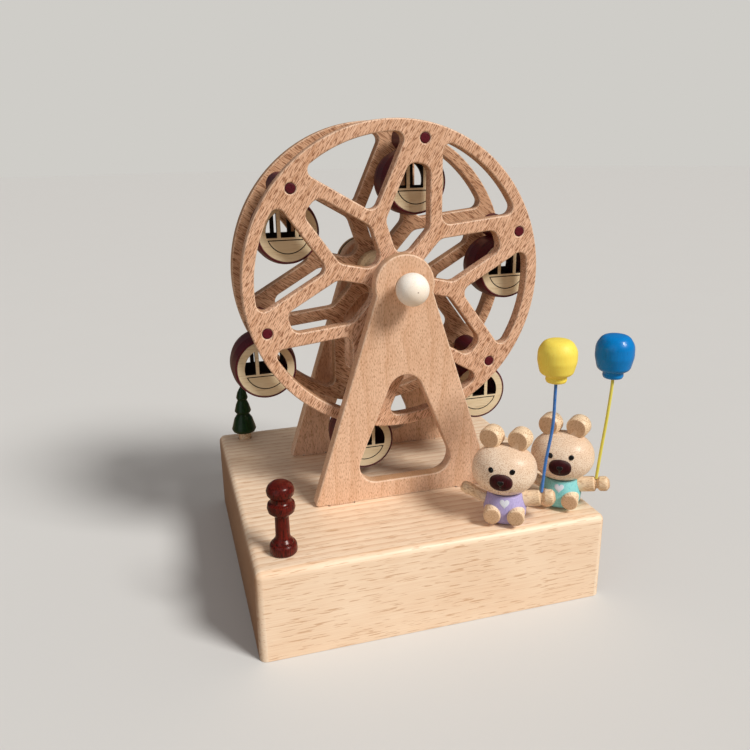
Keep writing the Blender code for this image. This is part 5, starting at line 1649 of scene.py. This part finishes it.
@dataclass
class Movement:
    """The wind-up music movement inside the base, and its key."""

    centre: float = 3.0 * MM
    length: float = 22.0 * MM
    radius: float = 5.5 * MM
    pin_height: float = 0.5 * MM
    pin_radius: float = 0.16 * MM
    tracks: int = 18
    pins_round: int = 26
    shaft: float = 1.2 * MM
    shaft_front: float = -11.2 * MM
    groove: float = 3.6 * MM
    pulley_half: float = 2.2 * MM
    pulley_lip: float = 5.6 * MM
    comb_tip: float = 6.4 * MM
    comb_tooth: float = 9.6 * MM
    comb_root: float = 4.4 * MM
    comb_thickness: float = 0.8 * MM
    tooth_share: float = 0.62
    key_wing: float = 8.5 * MM
    key_low: float = 1.0 * MM
    key_high: float = 6.6 * MM
    key_half: float = 1.1 * MM
    key_hub: float = 2.8 * MM
    key_round: float = 2.0 * MM
    key_hole: float = 1.2 * MM
    stem_top: float = 8.2 * MM
    arbor: float = 1.5 * MM
    arbor_top: float = 13.4 * MM

    def cylinder(self) -> Mesh:
        """Builds the turned cylinder with its shaft and pulley.

        Returns:
            The plain cylinder's mesh, in place.
        """
        start, end, tip = self.centre - self.length / 2, self.centre + self.length / 2, self.shaft_front
        sheave = pulley(self.shaft, self.pulley_lip, self.groove, self.pulley_half, 0.25 * MM)
        profile = (
            (tip, 0.0, 0.0), (tip, self.shaft, 0.2 * MM),
            (start, self.shaft, 0.0), (start, self.radius, 0.3 * MM),
            (end, self.radius, 0.3 * MM), (end, self.shaft, 0.0), *sheave[:-1], (sheave[-1][0], 0.0, 0.0),
        )
        return moved(lathe(profile, 64, Axis.Y), shift(z=LAYOUT.cylinder_z))

    def pins(self) -> Mesh:
        """Scatters the tune's pins over the cylinder, on its tracks.

        Returns:
            The pins' mesh, in place.
        """
        growth = Growth("tune_pins", Finishes.steel, {
            "Tracks": self.tracks, "Places": self.pins_round, "Length": self.length, "Radius": self.radius,
            "Pin Height": self.pin_height, "Pin Radius": self.pin_radius, "Share": 0.35, "Seed": 11,
            "Centre": Vector((0.0, self.centre - self.length / 2, LAYOUT.cylinder_z)),
        })
        w, given = growth.wiring, growth.given
        tracks, places, reach = given["Tracks"], given["Places"], given["Radius"]
        points = w.node("GeometryNodePoints", {"Count": w.times(tracks, places)})[0]
        index = w.node("GeometryNodeInputIndex")[0]
        row = w.plus(w.maths("FLOOR", w.over(index, places)), self.tooth_share / 2)
        angle = w.times(w.over(w.maths("MODULO", index, places), places), math.tau)
        along = w.times(w.over(row, tracks), given["Length"])
        across, up = (w.times(w.maths(name, angle), reach) for name in ("SINE", "COSINE"))
        spot = w.vector(across, along, up)
        set_out = w.node("GeometryNodeSetPosition", {"Geometry": points, "Position": spot})[0]
        chance = {"Probability": given["Share"], "Seed": given["Seed"]}
        keep = w.node("FunctionNodeRandomValue", chance, data_type="BOOLEAN")[3]
        tall = w.times(given["Pin Height"], 2.0)
        pin = w.node("GeometryNodeMeshCone", {
            "Vertices": 8, "Side Segments": 1, "Radius Top": w.times(given["Pin Radius"], 0.7),
            "Radius Bottom": given["Pin Radius"], "Depth": tall,
        })["Mesh"]
        sunk = {"Geometry": pin, "Translation": w.vector(0.0, 0.0, w.times(tall, -0.5))}
        pin = w.node("GeometryNodeTransform", sunk)[0]
        copies = growth.copies(set_out, Selection=keep, Instance=pin, Rotation=w.vector(0.0, angle))
        placed = w.node("GeometryNodeTransform", {"Geometry": copies, "Translation": given["Centre"]})[0]
        return growth.run(bpy.data.meshes.new("pins"), placed)

    def comb(self) -> Mesh:
        """Builds the comb: a back plate, and a tapered tooth repeated along it.

        Returns:
            The comb's mesh, in place.
        """
        pitch = self.length / self.tracks
        wide = pitch * self.tooth_share
        tip, root, half = self.comb_tip, self.comb_tip + self.comb_tooth, self.comb_thickness / 2
        start, level, back = self.centre - self.length / 2, LAYOUT.cylinder_z, root + self.comb_root
        end = start + self.length - pitch + wide
        taper = ((tip, 0.15 * wide), (root, 0.0), (root, wide), (tip, 0.85 * wide))
        tooth = plate(taper, (), -half * 0.7, half * 0.7, 0.05 * MM, Axis.Z)
        sizes = {"Teeth": self.tracks, "Pitch": pitch, "Start": Vector((0.0, start, level))}
        growth = Growth("comb_teeth", Finishes.steel, sizes)
        w, given = growth.wiring, growth.given
        offset = w.vector(0.0, given["Pitch"])
        run = {"Count": given["Teeth"], "Start Location": given["Start"], "Offset": offset}
        bm = work(growth.run(tooth, growth.copies(w.node("GeometryNodeMeshLine", run)[0])))
        spine = ((root, start), (back, start), (back, end), (root, end))
        bm.from_mesh(plate(spine, (), level - half, level + half, 0.12 * MM, Axis.Z))
        return closed_up(bm, "comb")

    def key(self) -> Mesh:
        """Builds the wing key on its stem.

        Returns:
            The key's mesh, in place.
        """
        wing, low, high = self.key_wing, self.key_low, self.key_high
        half, grip = self.key_half, self.key_round
        outline = fillet(((-wing, low, grip), (wing, low, grip), (wing, high, grip), (-wing, high, grip)))
        holes = [circle(self.key_hole, 24, (side * wing * 0.66, (low + high) / 2)) for side in (-1, 1)]
        blade = plate(outline, holes, -half, half, 0.35 * MM)
        hub, top, foot = self.key_hub, self.stem_top, low + 1.9 * MM
        stem = (
            (foot, 0.0, 0.0), (foot, hub, 0.4 * MM), (top, hub, 0.4 * MM), (top, self.arbor, 0.0),
            (self.arbor_top, self.arbor, 0.3 * MM), (self.arbor_top, 0.0, 0.0),
        )
        return moved(combined(blade, [lathe(stem, 40)], Join.UNION), shift(*LAYOUT.key_place))

    def build(self, nodes: Mapping[str, Object]) -> None:
        """Adds the movement's fine pieces and dresses the nodes that stay.

        Args:
            nodes: The frame's nodes, by name.
        """
        add_piece(
            "tune_cylinder", self.cylinder(), Finishes.brass, ("music_cylinder",), "cylinder"
        )
        add_piece("tune_pins", self.pins(), Finishes.steel, (), "cylinder")
        add_piece("tune_comb", self.comb(), Finishes.steel, ("movement_comb",))
        add_piece("wing_key", self.key(), Finishes.steel, ("winding_key",), "key")
        kept = {"movement_frame": Finishes.steel, "spring_barrel": Finishes.brass, "governor": Finishes.brass}
        for name, finish in kept.items():
            nodes[name].data.materials.clear()
            nodes[name].data.materials.append(finish.material)
            LOG.info("%s keeps its shape and takes %s", name, finish.name)


@dataclass
class DeckFigures:
    """The turned post and the tree, which stand at the base's left corners."""

    post: Point = (-48.4 * MM, -46.95 * MM)
    post_height: float = 24.4 * MM
    post_radius: float = 4.35 * MM
    tree: Point = (-48.6 * MM, 49.95 * MM)
    tree_height: float = 20.6 * MM
    tree_radius: float = 5.1 * MM
    trunk: Point = (2.6 * MM, 3.0 * MM)
    trunk_rise: float = 3.0 * MM
    post_profile: tuple[Corner, ...] = (
        (0.0, 0.90, 0.0), (0.02, 0.98, 0.3), (0.06, 1.0, 0.8), (0.117, 0.97, 0.7), (0.142, 0.88, 0.15),
        (0.148, 0.78, 0.1), (0.168, 0.75, 0.2), (0.208, 0.57, 0.8), (0.244, 0.52, 0.5), (0.513, 0.50, 0.4),
        (0.538, 0.66, 0.4), (0.579, 0.92, 0.5), (0.635, 1.0, 0.5), (0.691, 0.95, 0.15), (0.706, 0.78, 0.15),
        (0.720, 0.72, 0.2), (0.764, 0.70, 0.2), (0.782, 0.82, 0.2), (0.815, 0.95, 0.5), (0.868, 1.0, 0.9),
        (0.928, 0.88, 1.8), (0.978, 0.52, 2.2), (1.0, 0.0, 0.0),
    )
    tree_profile: tuple[Corner, ...] = (
        (0.0, 0.70, 0.3), (0.02, 0.90, 0.3), (0.075, 1.0, 0.4), (0.30, 0.74, 2.0), (0.405, 0.46, 0.3),
        (0.42, 0.58, 0.2), (0.46, 0.68, 0.35), (0.60, 0.53, 1.5), (0.695, 0.36, 0.3), (0.71, 0.42, 0.15),
        (0.745, 0.48, 0.3), (0.86, 0.36, 1.0), (0.975, 0.10, 0.5), (1.0, 0.0, 0.0),
    )

    def build(self) -> None:
        """Adds the post, the tree top and its trunk, each turned on its own spigot or bore."""
        gap = LAYOUT.shadow_gap
        radius, depth = LAYOUT.spigot
        trunk, tall = self.trunk
        top, bore, rise = tall + self.trunk_rise, trunk + gap, self.trunk_rise + 0.3 * MM
        foot = [(-depth, 0.0, 0.0), (-depth, radius, 0.2 * MM), (0.0, radius, 0.0)]
        post = foot + shares(self.post_profile, self.post_height, self.post_radius)
        crown = [(rise, 0.0, 0.0), (rise, bore, 0.0), (0.0, bore, 0.0)]
        crown += shares(self.tree_profile, self.tree_height, self.tree_radius)
        rod = [(-depth, 0.0, 0.0), (-depth, trunk, 0.2 * MM), (top, trunk, 0.2 * MM), (top, 0.0, 0.0)]
        for name, node, profile, steps, place, lift, finish, slot in (
            ("corner_post", "post", post, 64, self.post, gap, Finishes.post, Slot.OXBLOOD),
            ("fir_crown", "tree_top", crown, 64, self.tree, tall, Finishes.tree, Slot.GREEN),
            ("fir_trunk", "tree_trunk", rod, 40, self.tree, 0.0, Finishes.limb, Slot.BEECH),
        ):
            stand = shift(*place, LAYOUT.deck_z + lift)
            add_piece(name, moved(lathe(profile, steps), stand), finish, (node,))


@dataclass
class Bear:
    """A seated toy bear of turned pieces, with one hand that holds a balloon's wire."""

    name: str
    paint: Finish
    slot: Slot
    place: Point
    turn: float
    look: Point = (0.0, 0.0)
    body_radius: float = 7.1 * MM
    body_height: float = 9.6 * MM
    body_gap: float = 0.3 * MM
    head: Corner = (10.6 * MM, 9.0 * MM, 8.4 * MM)
    head_z: float = 17.424 * MM
    head_seat: float = -0.86
    head_fullness: Point = (2.0, 2.35)
    ear_place: Corner = (4.6 * MM, 1.2 * MM, 10.7 * MM)
    ear_turn: float = math.radians(-14)
    ear_radius: float = 3.7 * MM
    ear_face: float = 3.05 * MM
    ear_half: float = 2.6 * MM
    muzzle: Corner = (3.7 * MM, 3.05 * MM, 1.2 * MM)
    muzzle_fullness: float = 2.35
    muzzle_dome: float = 0.42
    muzzle_drop: float = 0.9 * MM
    eye: Corner = (3.4 * MM, 3.0 * MM, 0.87 * MM)
    heart_z: float = 7.9 * MM
    heart_size: float = 1.55 * MM
    thin_arm: Corner = (2.05 * MM, 3.6 * MM, 16.2 * MM)
    thin_tilt: float = math.radians(26)
    arm: Corner = (2.6 * MM, 6.6 * MM, 11.8 * MM)
    arm_tilt: float = math.radians(9)
    groove: Point = (0.5 * MM, 1.6 * MM)
    hand: float = 4.0 * MM
    leg: tuple[float, float, float, float] = (2.8 * MM, 8.4 * MM, 3.8 * MM, 4.1 * MM)
    body_profile: tuple[Corner, ...] = (
        (0.0, 0.74, 0.0), (0.035, 0.84, 0.6), (0.16, 0.96, 2.0), (0.45, 1.0, 3.0), (0.75, 0.93, 3.0),
        (0.97, 0.80, 0.4), (1.0, 0.74, 0.0),
    )

    @property
    def matrix(self) -> Matrix:
        """Where the bear sits and how it is turned."""
        return shift(*self.place, LAYOUT.deck_z) @ Matrix.Rotation(self.turn, 4, "Z")

    @property
    def nod(self) -> Matrix:
        """How the head is set over and turned on the body."""
        return shift(self.look[0]) @ Matrix.Rotation(self.look[1], 4, "Z")

    def wood(self, lay: Matrix, middle: Vector) -> Matrix:
        """How a turned piece lies in its wood, with the heart on its own axis."""
        return lay @ Matrix.Translation(-(self.matrix @ middle))

    def body_line(self, clearance: float = 0.0) -> list[Point]:
        """The body's profile."""
        line = shares(self.body_profile, self.body_height, self.body_radius)
        line = [(self.body_gap + high, radius + clearance, soft) for high, radius, soft in line]
        return fillet(line, closed=False)

    def body(self, clearance: float = 0.0) -> Mesh:
        """Builds the body on its spigot, or with a clearance the cutter for it."""
        line = self.body_line(clearance)
        radius, depth = LAYOUT.spigot
        foot = [(-depth, 0.0), (-depth, radius), (self.body_gap, radius)]
        return lathe([*foot, *line, (line[-1][0], 0.0)], 72)

    def girth(self, height: float) -> float:
        """The head's radius at a height on a unit ball, fuller above than below."""
        power = self.head_fullness[height > 0.0]
        return max(0.0, 1.0 - abs(height) ** power) ** (1.0 / power)

    def head_solid(self, clearance: float = 0.0) -> Mesh:
        """Builds the oval head with its flat seat, or with a clearance the cutter for it.

        Args:
            clearance: How much larger it is made, for a cutter.

        Returns:
            The head's mesh in the bear's own frame.
        """
        start = math.asin(self.head_seat)
        heights = [math.sin(start + (math.pi / 2 - start) * step / 40) for step in range(40)]
        line = [(heights[0], 0.0), *((height, self.girth(height)) for height in heights), (1.0, 0.0)]
        size = [half + clearance for half in self.head]
        return moved(lathe(line, 80), shift(z=self.head_z) @ Matrix.Diagonal((*size, 1.0)))

    def face(self, x: float, z: float) -> float:
        """The y of the head's front surface at an x and a z."""
        wide, deep, high = self.head
        return -deep * math.sqrt(max(0.0, self.girth((z - self.head_z) / high) ** 2 - (x / wide) ** 2))

    def chest(self, x: float, z: float) -> float:
        """The y of the body's front surface at an x and a z.

        Args:
            x: The distance from the middle.
            z: The height.

        Returns:
            The y.
        """
        line = self.body_line()
        for (low, near), (high, far) in zip(line, line[1:]):
            if low <= z <= high:
                radius = near + (far - near) * (z - low) / max(high - low, 1e-9)
                return -math.sqrt(max(0.0, radius**2 - x**2))
        return -line[-1][1]

    def ear(self, place: Vector) -> Mesh:
        """Builds an ear seated on the head.

        Args:
            place: The ear's middle in the bear's own frame.

        Returns:
            The ear's mesh.
        """
        half, wide, face = self.ear_half, self.ear_radius, self.ear_face
        line = (
            (-half, 0.0, 0.0), (-half, face, 0.35 * MM), (0.95 * MM - half, wide, 0.7 * MM),
            (half, wide, 0.6 * MM), (half, 0.0, 0.0),
        )
        stand = Matrix.Translation(place) @ Matrix.Rotation(self.ear_turn, 4, "Z")
        ear = moved(lathe(line, 56, Axis.Y), stand)
        return combined(ear, [self.head_solid(LAYOUT.shadow_gap)], Join.DIFFERENCE)

    def limbs(self) -> dict[str, tuple[Mesh, Matrix]]:
        """Builds both arms and both legs, cut to sit on the body.

        Returns:
            Each mesh, and how it lies in its wood, by name.
        """
        thin, lift, reach = self.thin_arm
        raised = (
            (0.0, 0.0, 0.0), (0.0, thin, 0.0), (reach - thin * 2.2, thin * 0.88, 2.0 * MM),
            (reach - thin * 1.1, thin, 1.0 * MM), (reach, thin * 0.8, 1.2 * MM), (reach, 0.0, 0.0),
        )
        wide, rise, length = self.arm
        cut, neck = self.groove
        end = length + cut + self.hand
        holding = (
            (0.0, 0.0, 0.0), (0.0, wide, 0.0), (length - cut, wide, 0.5 * MM), (length, neck, 0.1 * MM),
            (length + cut, neck, 0.1 * MM), (length + cut + 0.7 * MM, wide * 0.96, 0.8 * MM),
            (end - 0.9 * MM, wide * 0.98, 1.5 * MM), (end, wide * 0.45, 0.8 * MM), (end, 0.0, 0.0),
        )
        radius, stretch, spread, height = self.leg
        stub = ((-stretch, 0.0, 0.0), (-stretch, radius, 0.7 * MM), (0.0, radius, 0.0), (0.0, 0.0, 0.0))
        level, endways = Matrix.Identity(4), Matrix.Rotation(-math.pi / 2, 4, "Z")
        lean, tilt = (Matrix.Rotation(-angle, 4, "Y") for angle in (self.thin_tilt, self.arm_tilt))
        back = lean.inverted() @ Matrix.Rotation(math.pi, 4, "Y")
        made = {}
        for name, line, place, aim, axis, lay in (
            ("right_arm", raised, (0.0, 0.0, lift), back, Axis.X, lean),
            ("left_arm", holding, (0.0, 0.0, rise), tilt, Axis.X, tilt.inverted()),
            ("left_leg", stub, (spread, 0.0, height), level, Axis.Y, endways),
            ("right_leg", stub, (-spread, 0.0, height), level, Axis.Y, endways),
        ):
            limb = moved(lathe(line, 48, axis), Matrix.Translation(place) @ aim)
            mesh = combined(limb, [self.body(LAYOUT.shadow_gap)], Join.DIFFERENCE)
            made[name] = (mesh, self.wood(lay @ Matrix.Rotation(-self.turn, 4, "Z"), Vector(place)))
        return made

    def features(self) -> dict[str, tuple[Mesh, Finish, Slot]]:
        """Builds the painted features of the face and the chest.

        Returns:
            Mesh, finish and slot of each, by name.
        """
        wide, high, deep = self.muzzle
        low = self.head_z - self.muzzle_drop
        full, dome = 2.0 / self.muzzle_fullness, self.muzzle_dome
        oval = []
        for x, z in circle(1.0, 64):
            power = full if z > 0 else 1.0
            across = math.copysign(abs(x) ** power, x) * wide
            oval.append((across, low + math.copysign(abs(z) ** full, z) * high))

        def snout(x: float, z: float) -> float:
            """The y of the muzzle's surface at an x and a z."""
            share = min(1.0, math.hypot(x / wide, (z - low) / high))
            return self.face(x, z) - deep * (1.0 - share**2) ** dome - 0.03 * MM

        tip, top, mid, chin = (low + step * MM for step in (-0.7, 1.2, -0.6, -1.65))
        half, thin = 1.9 * MM, 0.22 * MM
        nose = ((-half, top, 0.6 * MM), (0.0, tip, 0.45 * MM), (half, top, 0.6 * MM))
        mouth = (
            (-thin, chin, 0.2 * MM), (thin, chin, 0.2 * MM), (thin, mid, 0.1 * MM), (-thin, mid, 0.1 * MM),
        )
        made = {"muzzle_pad": (patch(oval, self.face, deep, dome), Finishes.muzzle, Slot.OXBLOOD)}
        for name, line, lift in (("nose", nose, 0.25 * MM), ("mouth", mouth, 0.08 * MM)):
            shape = fillet(line, step=math.radians(20))
            made[name] = (patch(shape, snout, lift), Finishes.ink, Slot.OXBLOOD)
        spread, lift, radius = self.eye
        for name, x in (("left_eye", spread), ("right_eye", -spread)):
            ring = circle(radius, 32, (x, self.head_z + lift))
            made[name] = (patch(ring, self.face, 0.22 * MM), Finishes.ink, Slot.OXBLOOD)
        size, heart = self.heart_size / 16, []
        for t in (math.tau * step / 64 for step in range(64)):
            z = 13 * math.cos(t) - 5 * math.cos(2 * t) - 2 * math.cos(3 * t) - math.cos(4 * t)
            heart.append((-16 * math.sin(t) ** 3 * size, self.heart_z + (z + 2) * size))
        made["heart"] = (patch(heart, self.chest, 0.06 * MM), Finishes.heart, self.slot)
        return made

    def groove_top(self) -> Vector:
        """Where the wire leaves the hand, in the part's frame."""
        reach, lift = self.arm[2] + self.groove[0] / 2, self.groove[1] + 0.3 * MM
        turn = Matrix.Rotation(-self.arm_tilt, 4, "Y")
        return self.matrix @ (Vector((0.0, 0.0, self.arm[1])) + turn @ Vector((reach, 0.0, lift)))

    def build(self) -> None:
        """Adds the bear's pieces."""
        name, place, above = self.name, self.matrix, self.matrix @ self.nod
        add_piece(f"{name}_torso", moved(self.body(), place), self.paint, (f"{name}_body",))
        head = moved(self.head_solid(), above)
        add_piece(f"{name}_ball_head", head, Finishes.bear, (f"{name}_head",))
        spread, back, high = self.ear_place
        lay = Matrix.Rotation(-math.pi / 2 - self.turn - self.ear_turn - self.look[1], 4, "Z")
        for node, x in ((f"{name}_left_ear", spread), (f"{name}_right_ear", -spread)):
            spot = Vector((x, back, self.head_z + high))
            ear, wood = moved(self.ear(spot), above), self.wood(lay, self.nod @ spot)
            add_piece(f"{node}_disc", ear, Finishes.limb, (node,), lay=wood)
        for label, (mesh, wood) in self.limbs().items():
            node = f"{name}_{label}"
            add_piece(f"{node}_peg", moved(mesh, place), Finishes.limb, (node,), lay=wood)
        for label, (mesh, finish, slot) in self.features().items():
            nodes = (f"{name}_muzzle",) if label == "muzzle_pad" else ()
            mesh = moved(mesh, place if label == "heart" else above)
            add_piece(f"{name}_{label}", mesh, finish, nodes)


@dataclass
class Balloon:
    """A turned balloon on a stiff wire that stands in a bear's hand."""

    name: str
    paint: Finish
    slot: Slot
    wire_paint: Finish
    wire_slot: Slot
    bear: Bear
    neck_height: float
    neck_shift: Point
    sway: float
    radius: float = 6.2 * MM
    height: float = 12.6 * MM
    neck_radius: float = 3.35 * MM
    neck_tall: float = 1.9 * MM
    socket: float = 2.6 * MM
    wire_radius: float = 0.5 * MM
    profile: tuple[Corner, ...] = (
        (0.015, 0.55, 0.15), (0.085, 0.84, 2.0), (0.42, 1.0, 5.0), (0.72, 0.99, 4.6), (0.96, 0.70, 3.2),
        (1.0, 0.20, 3.0), (1.0, 0.0, 0.0),
    )

    def ball(self) -> Mesh:
        """Builds the balloon about the middle of its neck's lower face.

        Returns:
            The balloon's mesh.
        """
        bore, tall, wide = self.wire_radius + LAYOUT.shadow_gap, self.neck_tall, self.neck_radius
        line = [
            (self.socket, 0.0, 0.0), (self.socket, bore, 0.0), (0.0, bore, 0.0), (0.0, wide * 0.9, 0.3 * MM),
            (tall * 0.4, wide, 0.5 * MM), (tall * 0.86, wide * 0.98, 0.3 * MM),
        ]
        crown = shares(self.profile, self.height, self.radius)
        line += [(tall + high, radius, soft) for high, radius, soft in crown]
        return lathe(line, 72, step=math.radians(6))

    def build(self) -> None:
        """Adds the balloon and its wire, which bends a little on its way up."""
        foot = self.bear.groove_top()
        neck = Vector((foot.x, foot.y, LAYOUT.deck_z)) + Vector((*self.neck_shift, self.neck_height))
        add_piece(f"{self.name}_ball", moved(self.ball(), shift(*neck)), self.paint, (self.name,))
        top = neck + Vector((0.0, 0.0, self.socket - 0.3 * MM))
        entry = neck - Vector((0.0, 0.0, self.neck_tall * 2))
        lean = foot.lerp(entry, 2 / 3) + Vector((self.sway, 0.0, 0.0))
        route = eased([foot, foot.lerp(entry, 1 / 3), lean, entry, top], 48)
        wire = followed(route, self.wire_radius, self.wire_paint, f"{self.name}_sweep")
        add_piece(f"{self.name}_rod", wire, self.wire_paint, (f"{self.name}_wire",))


@dataclass(frozen=True)
class PaleFloor(Finish):
    """The floor, pale to the camera and with a warmer tone for the light that it throws back."""

    pale: str = "D8DADC"
    dull: str = "D2D3D4"
    bounce: str = "A8957F"

    def feeds(self, w: Wiring, place: Any) -> dict[str, Any]:
        """Colours and roughness of the floor.

        Args:
            w: The material's wiring.
            place: The object coordinates.

        Returns:
            What each input of the shader takes.
        """
        seen = w.blend(w.times(w.noise(place, 0.05), 0.2), colour(self.pale), colour(self.dull))
        camera = w.node("ShaderNodeLightPath")["Is Camera Ray"]
        paint = w.blend(camera, colour(self.bounce), seen)
        return {"Base Color": paint, "Roughness": 0.75, "Specular IOR Level": 0.2}


@dataclass
class Studio:
    """The plain pale floor, the soft lights and the camera."""

    camera_place: Corner = (-0.076602, -0.247934, 0.152064)
    right: Corner = (0.95866, -0.28414, -0.01530)
    up: Corner = (0.10038, 0.28737, 0.95254)
    ahead: Corner = (0.26626, 0.91470, -0.30402)
    lens: float = 35.35
    aim: Corner = (0.0, 0.0, 0.06)
    key_place: Corner = (0.50, -0.62, 0.78)
    fill_place: Corner = (-0.75, -0.7, 0.45)
    ambient: float = 0.29
    mirrored: float = 0.1
    backdrop: str = "CFCDC8"

    def camera(self) -> None:
        """Makes the camera at the photograph's place and angle."""
        data = bpy.data.cameras.new("photograph")
        data.lens = self.lens
        data.sensor_width = 36.0
        data.clip_start = 0.01
        camera = linked("photograph", data)
        turn = Matrix((self.right, self.up, -Vector(self.ahead))).transposed().to_4x4()
        camera.matrix_world = shift(*self.camera_place) @ turn
        bpy.context.scene.camera = camera
        LOG.info("camera at %s", self.camera_place)

    def lamp(self, name: str, place: Corner, spread: float, power: float, tint: str) -> None:
        """Adds one soft distant light that falls on the model.

        Args:
            name: Name of the light.
            place: The side that it comes from.
            spread: Its width in degrees, which softens its shadows.
            power: Its power.
            tint: Its screen colour.
        """
        data = bpy.data.lights.new(name, "SUN")
        data.angle = math.radians(spread)
        data.energy = power
        data.color = colour(tint)[:3]
        lamp = linked(name, data)
        lamp.location = place
        lamp.rotation_euler = (Vector(self.aim) - Vector(place)).to_track_quat("-Z", "Y").to_euler()

    def floor(self) -> None:
        """Adds the plain pale floor."""
        bm = bmesh.new()
        bmesh.ops.create_circle(bm, cap_ends=True, segments=96, radius=4.0)
        bmesh.ops.translate(bm, verts=bm.verts[:], vec=(0.0, 0.0, -0.1 * MM))
        mesh = closed_up(bm, "floor")
        mesh.materials.append(PaleFloor("pale_floor").material)
        linked("floor", mesh)

    def world(self) -> None:
        """Sets the soft surrounding light, and the pale background that the camera sees."""
        world = bpy.data.worlds.new("studio")
        bpy.context.scene.world = world
        world.use_nodes = True
        world.node_tree.nodes.clear()
        w = Wiring(world.node_tree)
        rays = w.node("ShaderNodeLightPath")
        soft, dim, pale = (
            w.node("ShaderNodeBackground", {"Color": colour(tint), "Strength": strength})[0]
            for tint, strength in (("FAF0E6", self.ambient), ("EDF1F6", self.mirrored), (self.backdrop, 1.0))
        )
        both = w.node("ShaderNodeMixShader", {0: rays["Is Glossy Ray"], 1: soft, 2: dim})[0]
        both = w.node("ShaderNodeMixShader", {0: rays["Is Camera Ray"], 1: both, 2: pale})[0]
        w.node("ShaderNodeOutputWorld", {0: both})

    def build(self) -> None:
        """Adds everything and sets the view transform."""
        self.camera()
        self.floor()
        self.world()
        self.lamp("key", self.key_place, spread=18.0, power=3.1, tint="FFFAF2")
        self.lamp("fill", self.fill_place, spread=50.0, power=0.3, tint="F4F4FA")
        bpy.context.scene.view_settings.view_transform = "Standard"


def corners(bounds: Sequence[Vector]) -> list[list[float]]:
    """Lowest and highest corner as plain numbers."""
    return [[float(value) for value in corner] for corner in bounds]


def main() -> None:
    """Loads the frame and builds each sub-assembly in order."""
    logging.basicConfig(level=logging.INFO, format="%(name)s: %(message)s")
    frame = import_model()
    Studio().build()
    figures = DeckFigures()
    lavender = Bear(
        "lavender_bear", Finishes.lavender, Slot.LAVENDER, (26.0 * MM, -48.05 * MM), math.radians(-29),
        look=(-0.7 * MM, math.radians(-4)),
    )
    mint = Bear("mint_bear", Finishes.mint, Slot.MINT, (49.0 * MM, -43.85 * MM), math.radians(-35))
    Base().build((figures.post, lavender.place, mint.place), figures.tree)
    Frames().build()
    wheel = Wheel()
    wheel.build()
    Cars(wheel).build()
    BeltDrive().build()
    Movement().build(frame["nodes"])
    figures.build()
    for bear in (lavender, mint):
        bear.build()
    Balloon(
        "yellow_balloon", Finishes.yellow, Slot.YELLOW, Finishes.blue_wire, Slot.BLUE_WIRE, lavender,
        48.0 * MM, (2.9 * MM, 0.2 * MM), 0.75 * MM, radius=6.15 * MM, height=11.95 * MM,
    ).build()
    Balloon(
        "blue_balloon", Finishes.blue, Slot.BLUE, Finishes.yellow_wire, Slot.YELLOW_WIRE, mint,
        46.1 * MM, (3.2 * MM, 0.2 * MM), 0.15 * MM,
    ).build()


if __name__ == "__main__":
    main()
